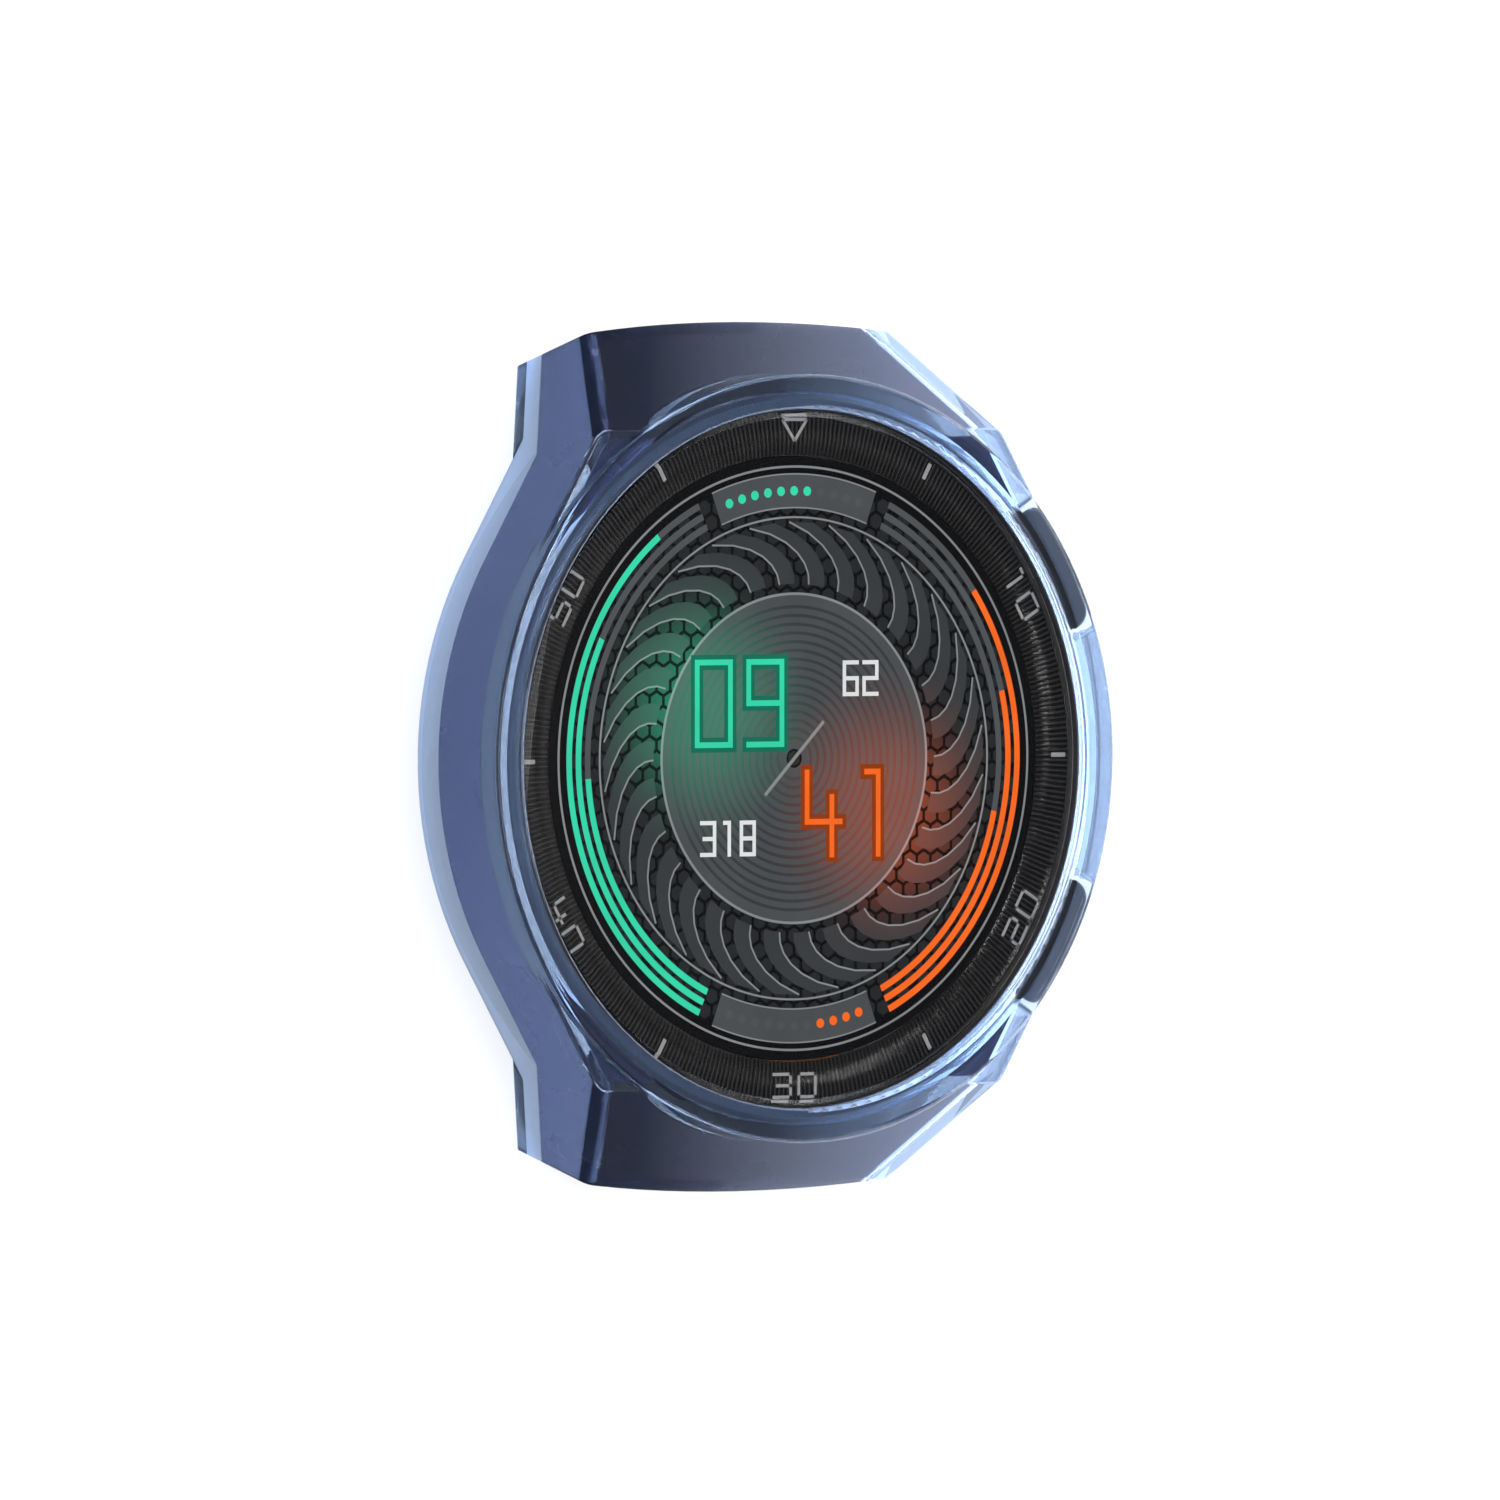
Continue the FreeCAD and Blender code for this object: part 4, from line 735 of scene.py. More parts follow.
def on_dial(radius: float, degrees: float) -> Vector:
    """Gives the place at a radius and at an angle clockwise from twelve."""
    turn = math.radians(90 - degrees)
    return Vector((radius * math.cos(turn), radius * math.sin(turn)))


def rounded(profile: list[Point], radius: float, steps: int = 3) -> list[Point]:
    """Rounds every corner of a closed profile.

    Args:
        profile: Corner points.
        radius: Radius of the rounds, cut down to fit a short side.
        steps: Straight runs in each round.

    Returns:
        The profile with its rounds.
    """
    made: list[Point] = []
    for i, corner in enumerate(profile):
        here = Vector(corner)
        back, ahead = Vector(profile[i - 1]) - here, Vector(profile[(i + 1) % len(profile)]) - here
        half = back.angle(ahead) / 2
        reach = min(radius / math.tan(half), MOST_OF_SIDE * min(back.length, ahead.length))
        a, b = here + back.normalized() * reach, here + ahead.normalized() * reach
        for k in range(steps + 1):
            t = k / steps
            made.append(tuple(a * (1 - t) ** 2 + here * 2 * t * (1 - t) + b * t**2))
    return made


@dataclass
class CladParts:
    """CAD nodes whose shape is right: each keeps its mesh and takes its slot's finish."""

    nodes: dict[str, bpy.types.Object]
    slots: dict[str, str]

    def dress(self) -> None:
        """Gives each CAD node the finish of its slot."""
        for name, node in self.nodes.items():
            finish = SLOT_FINISHES[self.slots[name]].make()
            node.data.materials.clear()
            node.data.materials.append(finish)


@dataclass
class FrontGlass:
    """Hardened front glass with a bevelled edge, and the black ceramic ring that holds it."""

    radius: float = 22.0
    low: float = 11.15
    high: float = 12.15
    bevel: float = 0.45
    edge_width: float = 3.0
    edge_round: float = 0.05
    ring_outer: float = 23.0
    ring_chamfer: float = 0.3
    ring_wall: float = 22.05
    ring_seat: float = 21.65
    seat_height: float = 11.0
    ring_round: float = 0.06
    turns: int = 192
    sharp: float = 25.0

    def build(self) -> None:
        """Builds the glass and the ceramic ring."""
        glass = MeshMaker("front_glass_bevelled")
        r, lo, hi, b = self.radius, self.low, self.high, self.bevel
        inside = r - self.edge_width
        edge = rounded([(inside, lo), (r, lo), (r, hi - b), (r - b, hi), (inside, hi)], self.edge_round)
        # The rounds of the first and last corner go, as both lie inside the flat glass.
        edge = [p for p in edge if p[0] > inside + b]
        glass.lathe([(0.0, lo), *edge, (0.0, hi)], self.turns, closed=False)
        glass.finish(FRONT_GLASS, "front_glass", "watch", "cover_glass", self.sharp)
        ring = MeshMaker("bezel_ring_polished")
        low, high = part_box("bezel_ring")
        foot, top, outer, wall = low.z / MM, high.z / MM, self.ring_outer, self.ring_wall
        profile = [
            (self.ring_seat, foot),
            (outer, foot),
            (outer, top - self.ring_chamfer),
            (outer - self.ring_chamfer, top),
            (wall, top),
            (wall, self.seat_height),
            (self.ring_seat, self.seat_height),
        ]
        ring.lathe(rounded(profile, self.ring_round), self.turns)
        ring.finish(SLOT_FINISHES["bezel_ceramic"], "bezel_ceramic", "watch", "bezel_ring", self.sharp)


class Reading(Enum):
    """Which way the tops of the scale's numerals point, as their turn in degrees."""

    OUTWARD = 0
    INWARD = 180


# Degrees of the scale for each minute.
MINUTE = 6
# Strokes of plain squared numerals on a grid of 2 by 4 units.
STROKES: dict[str, list[tuple[Point, Point]]] = {
    "0": [((0, 0), (2, 0)), ((2, 0), (2, 4)), ((2, 4), (0, 4)), ((0, 4), (0, 0))],
    "1": [((0.5, 4), (1.2, 4)), ((1.2, 4), (1.2, 0))],
    "2": [((0, 4), (2, 4)), ((2, 4), (2, 2)), ((2, 2), (0, 2)), ((0, 2), (0, 0)), ((0, 0), (2, 0))],
    "3": [((0, 4), (2, 4)), ((2, 4), (2, 0)), ((2, 0), (0, 0)), ((0.4, 2), (2, 2))],
    "4": [((0, 4), (0, 1.6)), ((0, 1.6), (2, 1.6)), ((1.5, 2.8), (1.5, 0))],
    "5": [((2, 4), (0, 4)), ((0, 4), (0, 2)), ((0, 2), (2, 2)), ((2, 2), (2, 0)), ((2, 0), (0, 0))],
    "6": [((2, 4), (0, 4)), ((0, 4), (0, 0)), ((0, 0), (2, 0)), ((2, 0), (2, 2)), ((2, 2), (0, 2))],
    "7": [((0, 4), (2, 4)), ((2, 4), (1, 0))],
    "8": [((0, 0), (2, 0)), ((2, 0), (2, 4)), ((2, 4), (0, 4)), ((0, 4), (0, 0)), ((0, 2), (2, 2))],
    "9": [((2, 2), (0, 2)), ((0, 2), (0, 4)), ((0, 4), (2, 4)), ((2, 4), (2, 0)), ((2, 0), (0, 0))],
}


@dataclass
class MinuteScale:
    """Fluted ring round the display, with printed ticks, numerals and the mark at twelve."""

    flutes: int = 390
    inner: float = 19.1
    lip_top: float = 11.02
    lip_edge: Point = (19.24, 11.05)
    low_flutes: Point = (19.3, 11.08)
    sharp: float = 20.0
    step_at: float = 20.2
    step_width: float = 0.04
    step_drop: float = 0.02
    flutes_end: float = 21.3
    outer: float = 21.55
    rim: float = 0.13
    rim_drop: float = 0.03
    low: float = 10.9
    crest: float = 11.13
    print_high: float = 11.145
    depth: float = 0.05
    inner_share: float = 0.7
    numeral_height: float = 1.44
    numeral_width: float = 1.3
    numeral_pitch: float = 1.95
    numeral_radius: float = 20.62
    stroke: float = 0.2
    tick_inner: float = 20.25
    tick_outer: float = 21.35
    tick_width: float = 0.28
    triangle_tip: float = 20.0
    triangle_half: float = 0.95

    def build(self) -> None:
        """Builds the fluted ring and the print on it."""
        ring = MeshMaker("minute_ring_fluted")
        # Radius, height and share of the flutes' depth of each row: inner lip, low flutes, step, rim.
        rows = [
            (self.inner, self.low, 0.0),
            (self.inner, self.lip_top, 0.0),
            (*self.lip_edge, 0.0),
            (*self.low_flutes, self.inner_share),
            (self.step_at - self.step_width, self.crest - self.step_drop, self.inner_share),
            (self.step_at, self.crest, 1.0),
            (self.flutes_end, self.crest, 1.0),
            (self.outer - self.rim, self.crest - self.rim_drop, 0.0),
            (self.outer, self.crest - self.rim_drop, 0.0),
            (self.outer, self.low, 0.0),
        ]
        columns = self.flutes * 2
        for k in range(columns):
            c, s = math.cos(math.tau * k / columns), math.sin(math.tau * k / columns)
            cut = self.depth * (k % 2)
            ring.points += [(r * c, r * s, z - cut * share) for r, z, share in rows]
        n = len(rows)
        for k in range(columns):
            a, b = k * n, (k + 1) % columns * n
            for i in range(n):
                j = (i + 1) % n
                ring.faces.append((a + j, b + j, b + i, a + i))
        ring.finish(SLOT_FINISHES["dial_black"], "dial_black", "watch", "minute_ring", self.sharp)
        self.print_marks()

    def print_marks(self) -> None:
        """Prints the ticks, numerals and the hollow triangle."""
        ink = MeshMaker("minute_scale_print")
        low, high = self.crest, self.print_high
        for minute in range(5, 60, 10):
            ends = [on_dial(r, MINUTE * minute) for r in (self.tick_inner, self.tick_outer)]
            ink.bar(*ends, self.tick_width, low, high)
        for minute in range(10, 60, 10):
            way = Reading.INWARD if 15 < minute < 45 else Reading.OUTWARD
            self.numeral(ink, str(minute), minute, way)
        base, half = self.tick_outer, self.triangle_half
        tip, left, right = (0.0, self.triangle_tip), (-half, base), (half, base)
        for a, b in ((tip, left), (left, right), (right, tip)):
            ink.bar(a, b, self.stroke, low, high)
        ink.finish(SCALE_INK, "dial_black", "watch")

    def numeral(self, ink: MeshMaker, text: str, minute: int, way: Reading) -> None:
        """Prints one number along the ring.

        Args:
            ink: Piece that takes the strokes.
            text: The number.
            minute: Its place on the scale.
            way: Whether its top points outward or inward.
        """
        wide, tall = self.numeral_width / 2, self.numeral_height / 4
        middle = on_dial(self.numeral_radius, MINUTE * minute)
        turn = Matrix.Rotation(math.radians(-MINUTE * minute + way.value), 2)
        for i, digit in enumerate(text):
            aside = (i - 0.5) * self.numeral_pitch
            for stroke in STROKES[digit]:
                a, b = (
                    middle + turn @ Vector(((x - 1) * wide + aside, (y - 2) * tall)) for x, y in stroke
                )
                d = (b - a).normalized() * self.stroke / 2
                ink.bar(a - d, b + d, self.stroke, self.crest, self.print_high)


class Layer(Enum):
    """Layers of the picture, counted up from the panel's face. Pale edges lie one above their plates."""

    CELLS = 1
    VANES = 2
    PLATES = 3
    NUMERALS = 5
    CORES = 6


@dataclass
class LitDial:
    """Lit panel with a plain dial of its own: mesh ground, vanes, arcs and large numerals."""

    radius: float = 19.0
    art_radius: float = 18.45
    low: float = 10.5
    ground: float = 11.06
    edge: float = 0.03
    sharp: float = 25.0
    layer: float = 0.012
    turns: int = 160
    cell: float = 0.62
    cell_share: float = 0.8
    cell_margin: float = 0.9
    cell_rows: int = 26
    cell_columns: int = 18
    vanes_round: int = 30
    vane_inner: float = 11.0
    vane_length: float = 3.9
    vane_sweep: float = 0.34
    vane_root_share: float = 0.52
    vane_growth_share: float = 0.1
    vane_edge: float = 0.11
    vane_steps: int = 6
    hub: float = 0.6
    plate_radius: float = 10.4
    rims: tuple[Point, ...] = ((10.45, 0.16), (15.25, 0.12), (18.45, 0.14))
    grooves: int = 16
    groove_first: float = 1.2
    groove_pitch: float = 0.55
    groove_width: float = 0.2
    wing_inner: float = 15.75
    wing_outer: float = 17.95
    wing_half_angle: float = 21.0
    wing_rims: Point = (15.75, 17.87)
    wing_rim_width: float = 0.09
    dots: int = 11
    dots_lit: tuple[int, int] = (7, 4)
    dot_circle: float = 16.85
    dot_angle: float = 3.5
    dot_radius: float = 0.3
    dot_sides: int = 16
    arc_inner: float = 17.35
    arc_pitch: float = 0.72
    arc_width: float = 0.42
    arc_span: Point = (25.0, 155.0)
    arc_reaches: Point = (118.0, 92.0, 61.0)
    warm_share: float = 0.86
    large_unit: float = 1.3
    large_at: Point = (4.3, 3.5)
    large_stroke: float = 0.95
    core_stroke: float = 0.36
    small_unit: float = 0.5
    small_at: Point = (5.2, 5.0)
    small_stroke: float = 0.26
    slash_half: float = 2.3
    slash_stroke: float = 0.22
    digit_pitch: float = 3.1

    def level(self, layer: Layer) -> tuple[float, float]:
        """Gives the underside and face of one layer of the picture."""
        return self.ground + self.layer * (layer.value - 1), self.ground + self.layer * layer.value

    def build(self) -> None:
        """Builds the panel and each layer of its picture."""
        panel = MeshMaker("display_face")
        r, lo, hi, e = self.radius, self.low, self.ground, self.edge
        panel.lathe([(0.0, lo), (r, lo), (r, hi - e), (r - e, hi), (0.0, hi)], self.turns, closed=False)
        panel.finish(PANEL_BLACK, "display", "watch", "display_panel", self.sharp)
        self.mesh_ground()
        self.vanes()
        self.plates()
        self.lamps()
        self.arcs()
        self.numerals()

    def piece(self, maker: MeshMaker, finish: LitFinish) -> None:
        """Hands one layer over as a piece of the display."""
        maker.finish(finish, "display", "watch")

    def mesh_ground(self) -> None:
        """Lays small six-sided cells over the ground."""
        cells = MeshMaker("display_mesh_cells")
        low, high = self.level(Layer.CELLS)
        size = self.cell
        # Corners run from the top anticlockwise, so each step is a negative clock angle.
        corners = [on_dial(size * self.cell_share, -60 * k) for k in range(6)]
        for row in range(-self.cell_rows, self.cell_rows + 1):
            for column in range(-self.cell_columns, self.cell_columns + 1):
                place = Vector(((column + (row % 2) / 2) * size * math.sqrt(3), row * size * 1.5))
                if place.length <= self.art_radius - self.cell_margin:
                    cells.slab([tuple(place + corner) for corner in corners], low, high)
        self.piece(cells, PANEL_MESH)

    def vanes(self) -> None:
        """Sets swept vanes round the dial, each with a pale leading edge."""
        vanes, edges = MeshMaker("display_vanes"), MeshMaker("display_vane_edges")
        low, high = self.level(Layer.VANES)
        pitch = math.tau / self.vanes_round
        for k in range(self.vanes_round):
            front, back = [], []
            for i in range(self.vane_steps + 1):
                t = i / self.vane_steps
                r = self.vane_inner + self.vane_length * t
                a = pitch * k + self.vane_sweep * t * t
                front.append((r * math.cos(a), r * math.sin(a)))
                width = pitch * (self.vane_root_share + self.vane_growth_share * t)
                back.append((r * math.cos(a - width), r * math.sin(a - width)))
            vanes.slab(back + front[::-1], low, high)
            for a, b in zip(front, front[1:]):
                edges.bar(a, b, self.vane_edge, high, high + self.layer)
        self.piece(vanes, PANEL_VANE)
        self.piece(edges, PANEL_EDGE)

    def plates(self) -> None:
        """Lays the round middle plate, its rims and the outer rim of the picture."""
        plate, rims = MeshMaker("display_middle_plate"), MeshMaker("display_rims")
        low, high = self.level(Layer.PLATES)
        plate.band(self.hub, self.plate_radius, 0.0, 360.0, low, high)
        for r, width in self.rims:
            rims.band(r - width, r, 0.0, 360.0, low, high + self.layer)
        self.piece(plate, PANEL_PLATE)
        self.piece(rims, PANEL_EDGE)
        grooves = MeshMaker("display_plate_grooves")
        for k in range(self.grooves):
            inner = self.groove_first + self.groove_pitch * k
            grooves.band(inner, inner + self.groove_width, 0.0, 360.0, high, high + self.layer)
        self.piece(grooves, PANEL_VANE)

    def lamps(self) -> None:
        """Sets a row of small round marks on a plate above and another below."""
        wings = MeshMaker("display_wing_plates")
        wing_rims = MeshMaker("display_wing_rims")
        dim, cool, warm = (MeshMaker(f"display_dots_{name}") for name in ("dim", "teal", "orange"))
        low, high = self.level(Layer.VANES)
        top = high + self.layer
        dot = [on_dial(self.dot_radius, -360 * i / self.dot_sides) for i in range(self.dot_sides)]
        above, below = self.dots_lit
        for middle, lit, lit_maker in ((0.0, above, cool), (180.0, below, warm)):
            first, last = middle - self.wing_half_angle, middle + self.wing_half_angle
            wings.band(self.wing_inner, self.wing_outer, first, last, low, high)
            for r in self.wing_rims:
                wing_rims.band(r, r + self.wing_rim_width, first, last, high, top)
            for k in range(self.dots):
                place = on_dial(self.dot_circle, middle + (k - self.dots // 2) * self.dot_angle)
                (lit_maker if k < lit else dim).slab([tuple(place + p) for p in dot], high, top)
        self.piece(wings, PANEL_PLATE)
        self.piece(wing_rims, PANEL_EDGE)
        self.piece(dim, PANEL_DIM)
        self.piece(cool, PANEL_TEAL)
        self.piece(warm, PANEL_ORANGE)

    def arcs(self) -> None:
        """Draws nested arcs: cool ones on the left, warm ones on the right, each over a dim track."""
        track = MeshMaker("display_arc_tracks")
        cool, warm = MeshMaker("display_arcs_teal"), MeshMaker("display_arcs_orange")
        low, high = self.level(Layer.PLATES)
        top = high + self.layer
        first, last = self.arc_span
        for k, reach in enumerate(self.arc_reaches):
            inner = self.arc_inner - self.arc_pitch * k
            outer = inner + self.arc_width
            track.band(inner, outer, 360 - last, 360 - first, low, high)
            track.band(inner, outer, first, last, low, high)
            cool.band(inner, outer, 360 - last, 360 - last + reach, high, top)
            warm.band(inner, outer, last - reach * self.warm_share, last, high, top)
        self.piece(track, PANEL_DIM)
        self.piece(cool, PANEL_TEAL)
        self.piece(warm, PANEL_ORANGE)

    def numerals(self) -> None:
        """Writes two large plain numbers and two small ones."""
        x, y = self.large_at
        for text, at, deep, bright in (
            ("09", (-x, y), PANEL_TEAL_DEEP, PANEL_TEAL),
            ("41", (x, -y), PANEL_ORANGE_DEEP, PANEL_ORANGE),
        ):
            body, core = MeshMaker(f"display_number_{text}"), MeshMaker(f"display_number_{text}_core")
            self.write(body, text, at, self.large_unit, self.large_stroke, Layer.NUMERALS)
            self.write(core, text, at, self.large_unit, self.core_stroke, Layer.CORES)
            self.piece(body, deep)
            self.piece(core, bright)
        small = MeshMaker("display_small_numbers")
        x, y = self.small_at
        for text, at in (("62", (x, y)), ("318", (-x, -y))):
            self.write(small, text, at, self.small_unit, self.small_stroke, Layer.NUMERALS)
        self.piece(small, PANEL_WHITE)
        slash = MeshMaker("display_slash")
        half = self.slash_half
        slash.bar((-half, -half), (half, half), self.slash_stroke, *self.level(Layer.NUMERALS))
        self.piece(slash, PANEL_EDGE)

    def write(
        self, maker: MeshMaker, text: str, at: Point, unit: float, width: float, layer: Layer
    ) -> None:
        """Writes a number centred on a place of the dial.

        Args:
            maker: Piece that takes the strokes.
            text: The number.
            at: Middle of the number.
            unit: Quarter of the numerals' height.
            width: Width of a stroke.
            layer: Layer of the picture.
        """
        low, high = self.level(layer)
        for i, digit in enumerate(text):
            corner = Vector(at) + Vector((((i - (len(text) - 1) / 2) * self.digit_pitch - 1), -2)) * unit
            for stroke in STROKES[digit]:
                a, b = (corner + Vector(p) * unit for p in stroke)
                d = (b - a).normalized() * width / 2
                maker.bar(a - d, b + d, width, low, high)


def seen(tree: bpy.types.NodeTree, path: bpy.types.Node) -> bpy.types.NodeSocket:
    """Gives 1 for rays from the camera, from gloss and through glass, which see the white studio.

    Args:
        tree: Tree that the nodes join.
        path: Light Path node.

    Returns:
        The share as a socket.
    """
    first = add_node(
        tree,
        "ShaderNodeMath",
        {"operation": "MAXIMUM"},
        {0: path.outputs["Is Camera Ray"], 1: path.outputs["Is Glossy Ray"]},
    )
    both = add_node(
        tree,
        "ShaderNodeMath",
        {"operation": "MAXIMUM"},
        {0: first.outputs[0], 1: path.outputs["Is Transmission Ray"]},
    )
    return both.outputs[0]


@dataclass(frozen=True)
class FloorPaper(Surface):
    """White background paper on the floor, which keeps the object's shadow.

    The bright is the share of plain white wherever the paper is seen. The veil is taken off it behind glass,
    so that more of the object's shadow shows through the cover than straight on.
    """

    name: str = "background_paper_matt"
    shade: str = "#f4f5f6"
    colour: str = "#fafafa"
    bright: float = 0.8
    veil: float = 0.4

    def lay(self, tree: bpy.types.NodeTree) -> None:
        """Lays matt, slightly cloudy paper, and mixes plain white into it where it is seen.

        Args:
            tree: Material's node tree.
        """
        place = add_node(tree, "ShaderNodeTexCoord").outputs["Object"]
        cloud = add_node(tree, "ShaderNodeTexNoise", {"Scale": 1 / (PAPER_MM * MM)}, {"Vector": place})
        tone = add_node(
            tree,
            "ShaderNodeMix",
            {"data_type": "RGBA", 6: linear(self.shade), 7: linear(self.colour)},
            {0: cloud.outputs["Fac"]},
        )
        paper = add_node(tree, "ShaderNodeBsdfDiffuse", links={"Color": tone.outputs[2]})
        white = add_node(tree, "ShaderNodeEmission", {"Color": (1.0, 1.0, 1.0, 1.0), "Strength": 1.0})
        path = add_node(tree, "ShaderNodeLightPath")
        less = add_node(
            tree,
            "ShaderNodeMath",
            {"operation": "MULTIPLY", 1: self.veil},
            {0: path.outputs["Is Transmission Ray"]},
        )
        most = add_node(
            tree, "ShaderNodeMath", {"operation": "MULTIPLY", 1: self.bright}, {0: seen(tree, path)}
        )
        share = add_node(
            tree,
            "ShaderNodeMath",
            {"operation": "SUBTRACT"},
            {0: most.outputs[0], 1: less.outputs[0]},
        )
        mix = add_node(
            tree,
            "ShaderNodeMixShader",
            links={0: share.outputs[0], 1: paper.outputs["BSDF"], 2: white.outputs["Emission"]},
        )
        add_node(tree, "ShaderNodeOutputMaterial", links={"Surface": mix.outputs["Shader"]})


@dataclass(frozen=True)
class GradedPrint(Surface):
    """Glow of the reflector cards, an emission graded from dark to bright over twice the feather, in metres.

    It is a painted reflection: only gloss and clear pieces meet it, and it lights no matt surface. It is
    clear to rays that come straight through the cover, up to the bounces given.
    """

    name: str = "glow_card_painted_reflection"
    feather: float = 0.016
    dark: float = 0.14
    light: float = 2.6
    bounces: int = 2

    def lay(self, tree: bpy.types.NodeTree) -> None:
        """Lays the graded light, and nothing for rays that come straight through the cover.

        Args:
            tree: Material's node tree.
        """
        place = add_node(tree, "ShaderNodeTexCoord").outputs["Object"]
        along = add_node(tree, "ShaderNodeSeparateXYZ", links={"Vector": place}).outputs["X"]
        grade = add_node(
            tree,
            "ShaderNodeMapRange",
            {
                "From Min": -self.feather,
                "From Max": self.feather,
                "To Min": self.dark,
                "To Max": self.light,
            },
            {"Value": along},
        )
        path = add_node(tree, "ShaderNodeLightPath")
        deep = add_node(
            tree,
            "ShaderNodeMath",
            {"operation": "GREATER_THAN", 1: self.bounces + 0.5},
            {0: path.outputs["Ray Depth"]},
        )
        mirrored = add_node(
            tree,
            "ShaderNodeMath",
            {"operation": "SUBTRACT", 0: 1.0},
            {1: path.outputs["Is Transmission Ray"]},
        )
        either = add_node(
            tree, "ShaderNodeMath", {"operation": "MAXIMUM"}, {0: deep.outputs[0], 1: mirrored.outputs[0]}
        )
        clear = add_node(tree, "ShaderNodeBsdfTransparent")
        light = add_node(tree, "ShaderNodeEmission", links={"Strength": grade.outputs["Result"]})
        mix = add_node(
            tree,
            "ShaderNodeMixShader",
            links={0: either.outputs[0], 1: clear.outputs["BSDF"], 2: light.outputs["Emission"]},
        )
        add_node(tree, "ShaderNodeOutputMaterial", links={"Surface": mix.outputs["Shader"]})


# Cotton velvet, woven with a pile: nearly black from every side.
VELVET = Finish("cotton_velvet_woven", "#050506", "#0a0a0c", Grain.WOVEN, 0.8, 0.1, 0.9)


@dataclass(frozen=True)
class Lamp:
    """Square soft lamp that looks at the watch: its place and side in metres, and its power in watts.

    A mirrored lamp shows as a highlight in glossy surfaces.
    """

    name: str
    place: Point
    size: float
    power: float
    mirrored: bool = False

    def hang(self) -> None:
        """Hangs the lamp in the studio."""
        data = bpy.data.lights.new(self.name, "AREA")
        data.shape, data.size, data.energy = "SQUARE", self.size, self.power
        lamp = bpy.data.objects.new(self.name, data)
        bpy.context.scene.collection.objects.link(lamp)
        lamp.location = self.place
        lamp.rotation_euler = (-Vector(self.place)).to_track_quat("-Z", "Y").to_euler()
        lamp.visible_camera = False
        lamp.visible_glossy = lamp.visible_transmission = self.mirrored


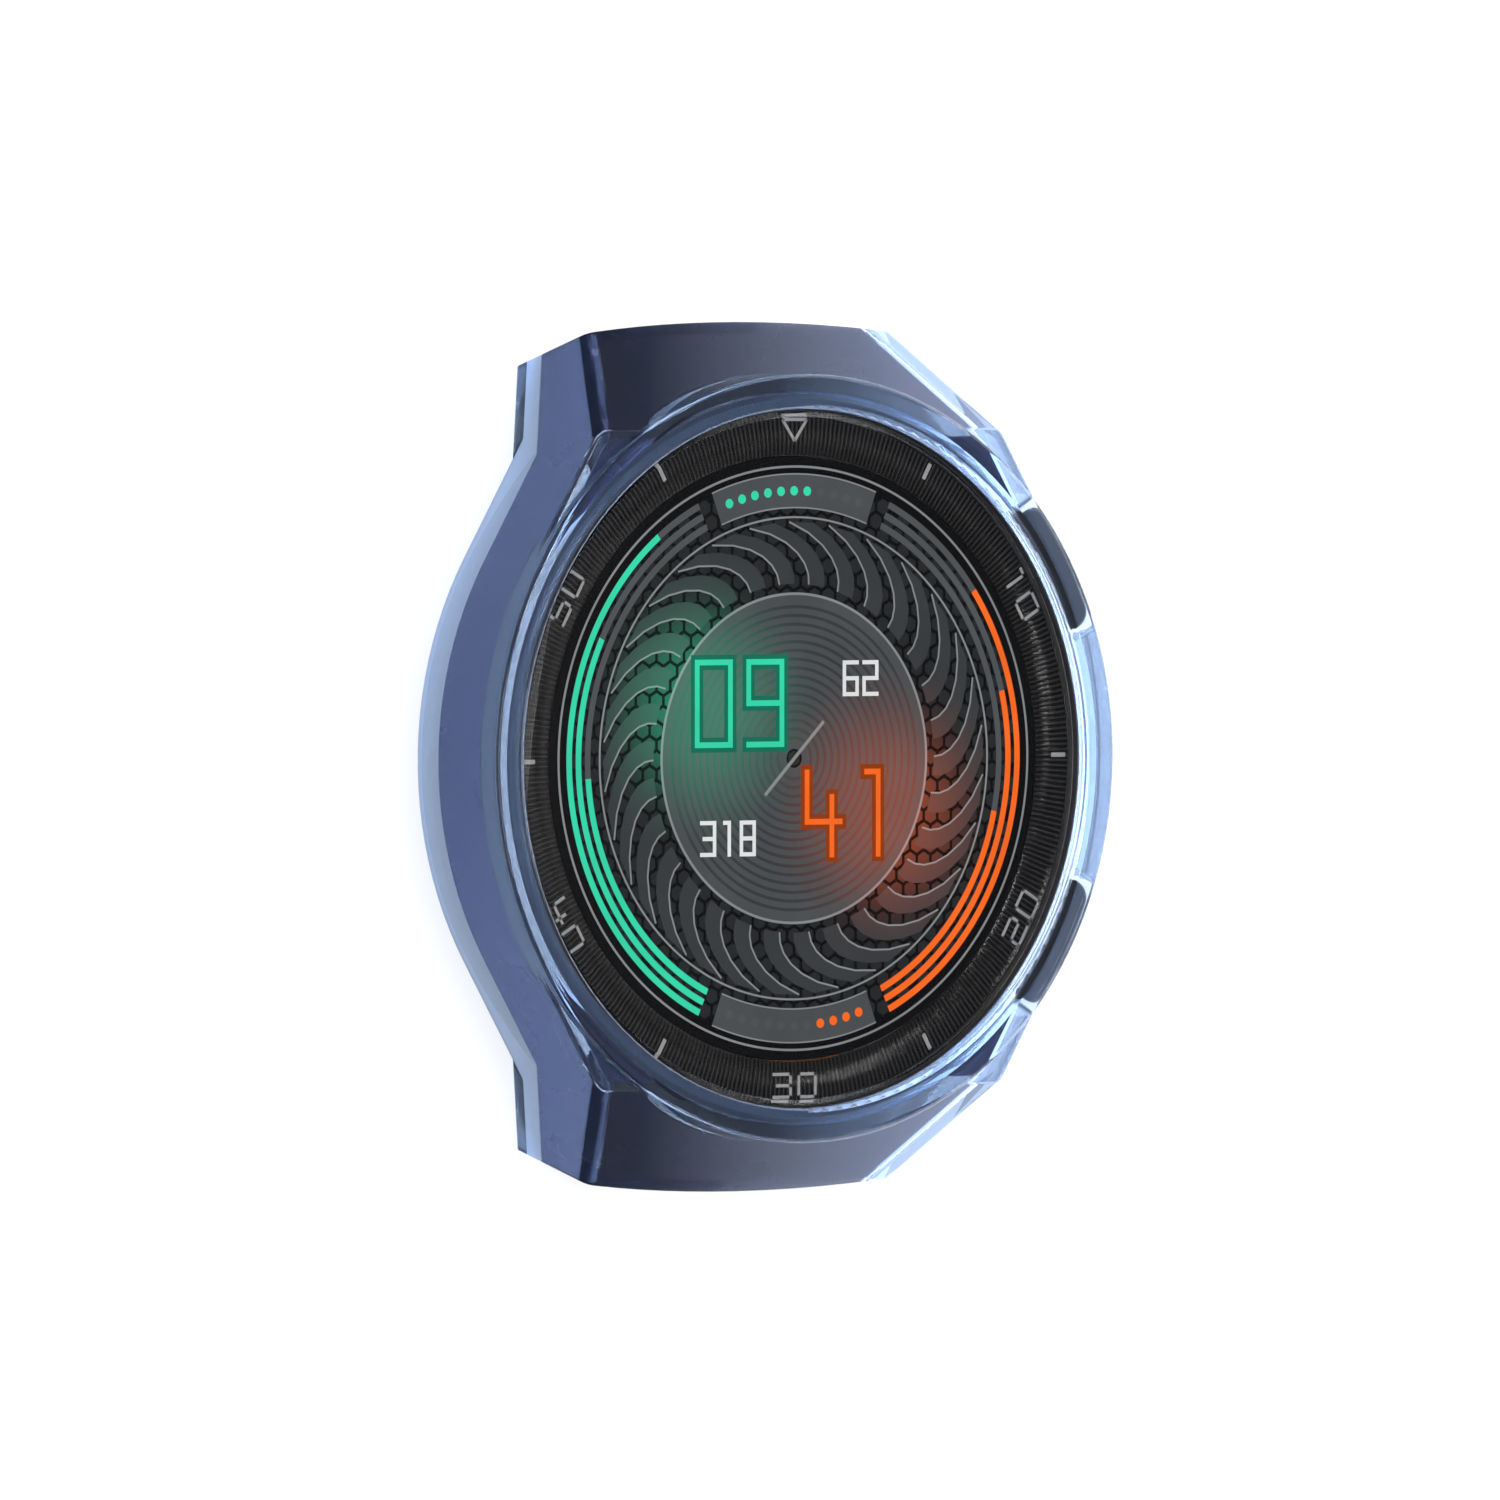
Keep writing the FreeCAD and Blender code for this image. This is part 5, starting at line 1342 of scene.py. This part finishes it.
@dataclass
class Studio:
    """Pale floor, soft lamps and the camera at the photograph's angle.

    The turn and lift are the camera's angles in degrees. The middle is the pixel that shows the object's
    own axis at the middle height in millimetres. Other lengths are in metres. The sky darkens to the
    overhead share between the two heights of the horizon, as shares of straight up, and the fill is its
    strength for rays that don't see it. The card facing is the way from the lugs at twelve to their card.
    """

    turn: float = 36.515
    lift: float = 1.064
    pixels_per_mm: float = 15.821
    image: int = 1500
    middle: Point = (746.95, 757.09)
    middle_height: float = 6.5
    distance: float = 2.0
    sensor: float = 36.0
    floor_half: float = 6.0
    horizon: Point = (0.02, 0.5)
    overhead: float = 0.3
    fill: float = 0.5
    lug_reach: float = 0.0238
    card_facing: Point = (0.595, 0.803)
    card_distance: float = 0.035
    card_gap: float = 0.008
    card_offset: float = 0.008
    card_width: float = 0.12
    card_height: float = 0.06
    card_lift: float = 0.0002
    flag_length: float = 0.4
    flag_lift: float = 0.0003
    lamps: tuple[Lamp, ...] = (
        Lamp("key_lamp", (-0.35, 0.25, 0.75), 0.5, 9.0),
        Lamp("fill_lamp", (0.5, -0.2, 0.5), 0.4, 4.0),
        Lamp("top_lamp", (-0.3, -0.03, 0.64), 0.42, 1.3, mirrored=True),
        Lamp("scale_lamp", (0.097, 0.174, 0.67), 0.12, 0.9, mirrored=True),
    )

    def build(self) -> None:
        """Builds the stage, from the camera to the lamps."""
        self.camera()
        self.floor()
        self.sky()
        # Painted reflection: glowing graded cards that only gloss and clear pieces see.
        self.card("graded_card_twelve", 1)
        self.card("graded_card_six", -1)
        self.flag()
        for lamp in self.lamps:
            lamp.hang()
        bpy.context.scene.view_settings.view_transform = "Standard"

    def camera(self) -> None:
        """Sets the camera where the photograph's parallel view was fitted."""
        t, e = math.radians(self.turn), math.radians(self.lift)
        right = Vector((math.cos(t), 0.0, math.sin(t)))
        up = Vector((math.sin(e) * math.sin(t), math.cos(e), -math.sin(e) * math.cos(t)))
        back = right.cross(up)
        half = self.image / 2
        aim = (
            Vector((0.0, 0.0, self.middle_height))
            + right * (half - self.middle[0]) / self.pixels_per_mm
            + up * (self.middle[1] - half) / self.pixels_per_mm
        ) * MM
        data = bpy.data.cameras.new("camera")
        data.sensor_width = self.sensor
        data.lens = self.sensor * self.distance / (self.image / self.pixels_per_mm * MM)
        data.clip_start, data.clip_end = 0.1, 50.0
        camera = bpy.data.objects.new("camera", data)
        bpy.context.scene.collection.objects.link(camera)
        turned = Matrix((right, up, back)).transposed().to_4x4()
        camera.matrix_world = Matrix.Translation(aim + back * self.distance) @ turned
        bpy.context.scene.camera = camera

    def floor(self) -> None:
        """Lays the wide paper floor."""
        half = self.floor_half
        points = [(x, y, 0.0) for y in (-half, half) for x in (-half, half)]
        self.sheet("floor", points, Matrix(), FloorPaper())

    def sky(self) -> None:
        """Surrounds the stage with white at eye level, darker overhead."""
        world = bpy.data.worlds.new("studio")
        bpy.context.scene.world = world
        world.use_nodes = True
        tree = world.node_tree
        tree.nodes.clear()
        place = add_node(tree, "ShaderNodeTexCoord").outputs["Generated"]
        height = add_node(tree, "ShaderNodeSeparateXYZ", links={"Vector": place}).outputs["Z"]
        low, high = self.horizon
        dark = add_node(
            tree,
            "ShaderNodeMapRange",
            {"From Min": low, "From Max": high, "To Min": 1.0, "To Max": self.overhead},
            {"Value": height},
        )
        path = add_node(tree, "ShaderNodeLightPath")
        strength = add_node(
            tree,
            "ShaderNodeMix",
            {"data_type": "FLOAT", 2: self.fill},
            {0: seen(tree, path), 3: dark.outputs["Result"]},
        )
        back = add_node(
            tree, "ShaderNodeBackground", {"Color": (1.0, 1.0, 1.0, 1.0)}, {"Strength": strength.outputs[0]}
        )
        add_node(tree, "ShaderNodeOutputWorld", links={"Surface": back.outputs["Background"]})

    def sheet(self, name: str, points: list[Point], turned: Matrix, surface: Surface) -> bpy.types.Object:
        """Lays or stands a sheet of the stage.

        Args:
            name: Sheet's name.
            points: Its corners, as rows of two.
            turned: Where it stands.
            surface: What it is covered with.

        Returns:
            The sheet.
        """
        mesh = bpy.data.meshes.new(name)
        faces = [(i, i + 1, i + 3, i + 2) for i in range(0, len(points) - 2, 2)]
        mesh.from_pydata(points, [], faces)
        mesh.materials.append(surface.make())
        sheet = bpy.data.objects.new(name, mesh)
        bpy.context.scene.collection.objects.link(sheet)
        sheet.matrix_world = turned
        return sheet

    def hide(self, sheet: bpy.types.Object) -> None:
        """Keeps a sheet from camera, diffuse and shadow rays. Gloss and clear pieces still meet it."""
        sheet.visible_camera = sheet.visible_diffuse = sheet.visible_shadow = False

    def flag(self) -> None:
        """Lays black velvet on the floor beside the cover's left wall, to keep white out of its shine."""
        far, half = -self.flag_length, self.flag_length / 2
        points = [(x, y, self.flag_lift) for x in (far, 0.0) for y in (-half, half)]
        sheet = self.sheet("velvet_flag", points, Matrix(), VELVET)
        self.hide(sheet)
        sheet.visible_transmission = False

    def card(self, name: str, side: int) -> None:
        """Stands a glowing card, graded black to bright, beside the lugs, with an apron at its foot: a
        painted reflection in the lugs' gloss.

        Args:
            name: Card's name.
            side: 1 beside the lugs at twelve, -1 beside those at six.
        """
        width, foot, low = self.card_width, self.card_distance - self.card_gap, self.card_lift
        rows = [(-foot, low), (0.0, low), (0.0, self.card_height)]
        points = [(x, y, z) for y, z in rows for x in (width, -width)]
        x, y = self.card_facing
        along, across = Vector((x, y * side, 0.0)), Vector((y, -x * side, 0.0))
        turned = Matrix((across, along, Vector((0.0, 0.0, 1.0)))).transposed().to_4x4()
        lug_end = Vector((0.0, self.lug_reach * side, 0.0))
        place = Matrix.Translation(lug_end + along * self.card_distance + across * self.card_offset)
        self.hide(self.sheet(name, points, place @ turned, GradedPrint()))


def main() -> None:
    """Loads the frame, dresses it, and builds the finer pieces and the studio."""
    logging.basicConfig(level=logging.INFO, format="%(message)s")
    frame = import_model()
    slots = {part["node"]: part["material_slot"] for part in frame["record"]["subparts"]}
    CladParts(frame["nodes"], slots).dress()
    FrontGlass().build()
    MinuteScale().build()
    LitDial().build()
    Studio().build()
    LOG.info("sizes written")


if __name__ == "__main__":
    main()
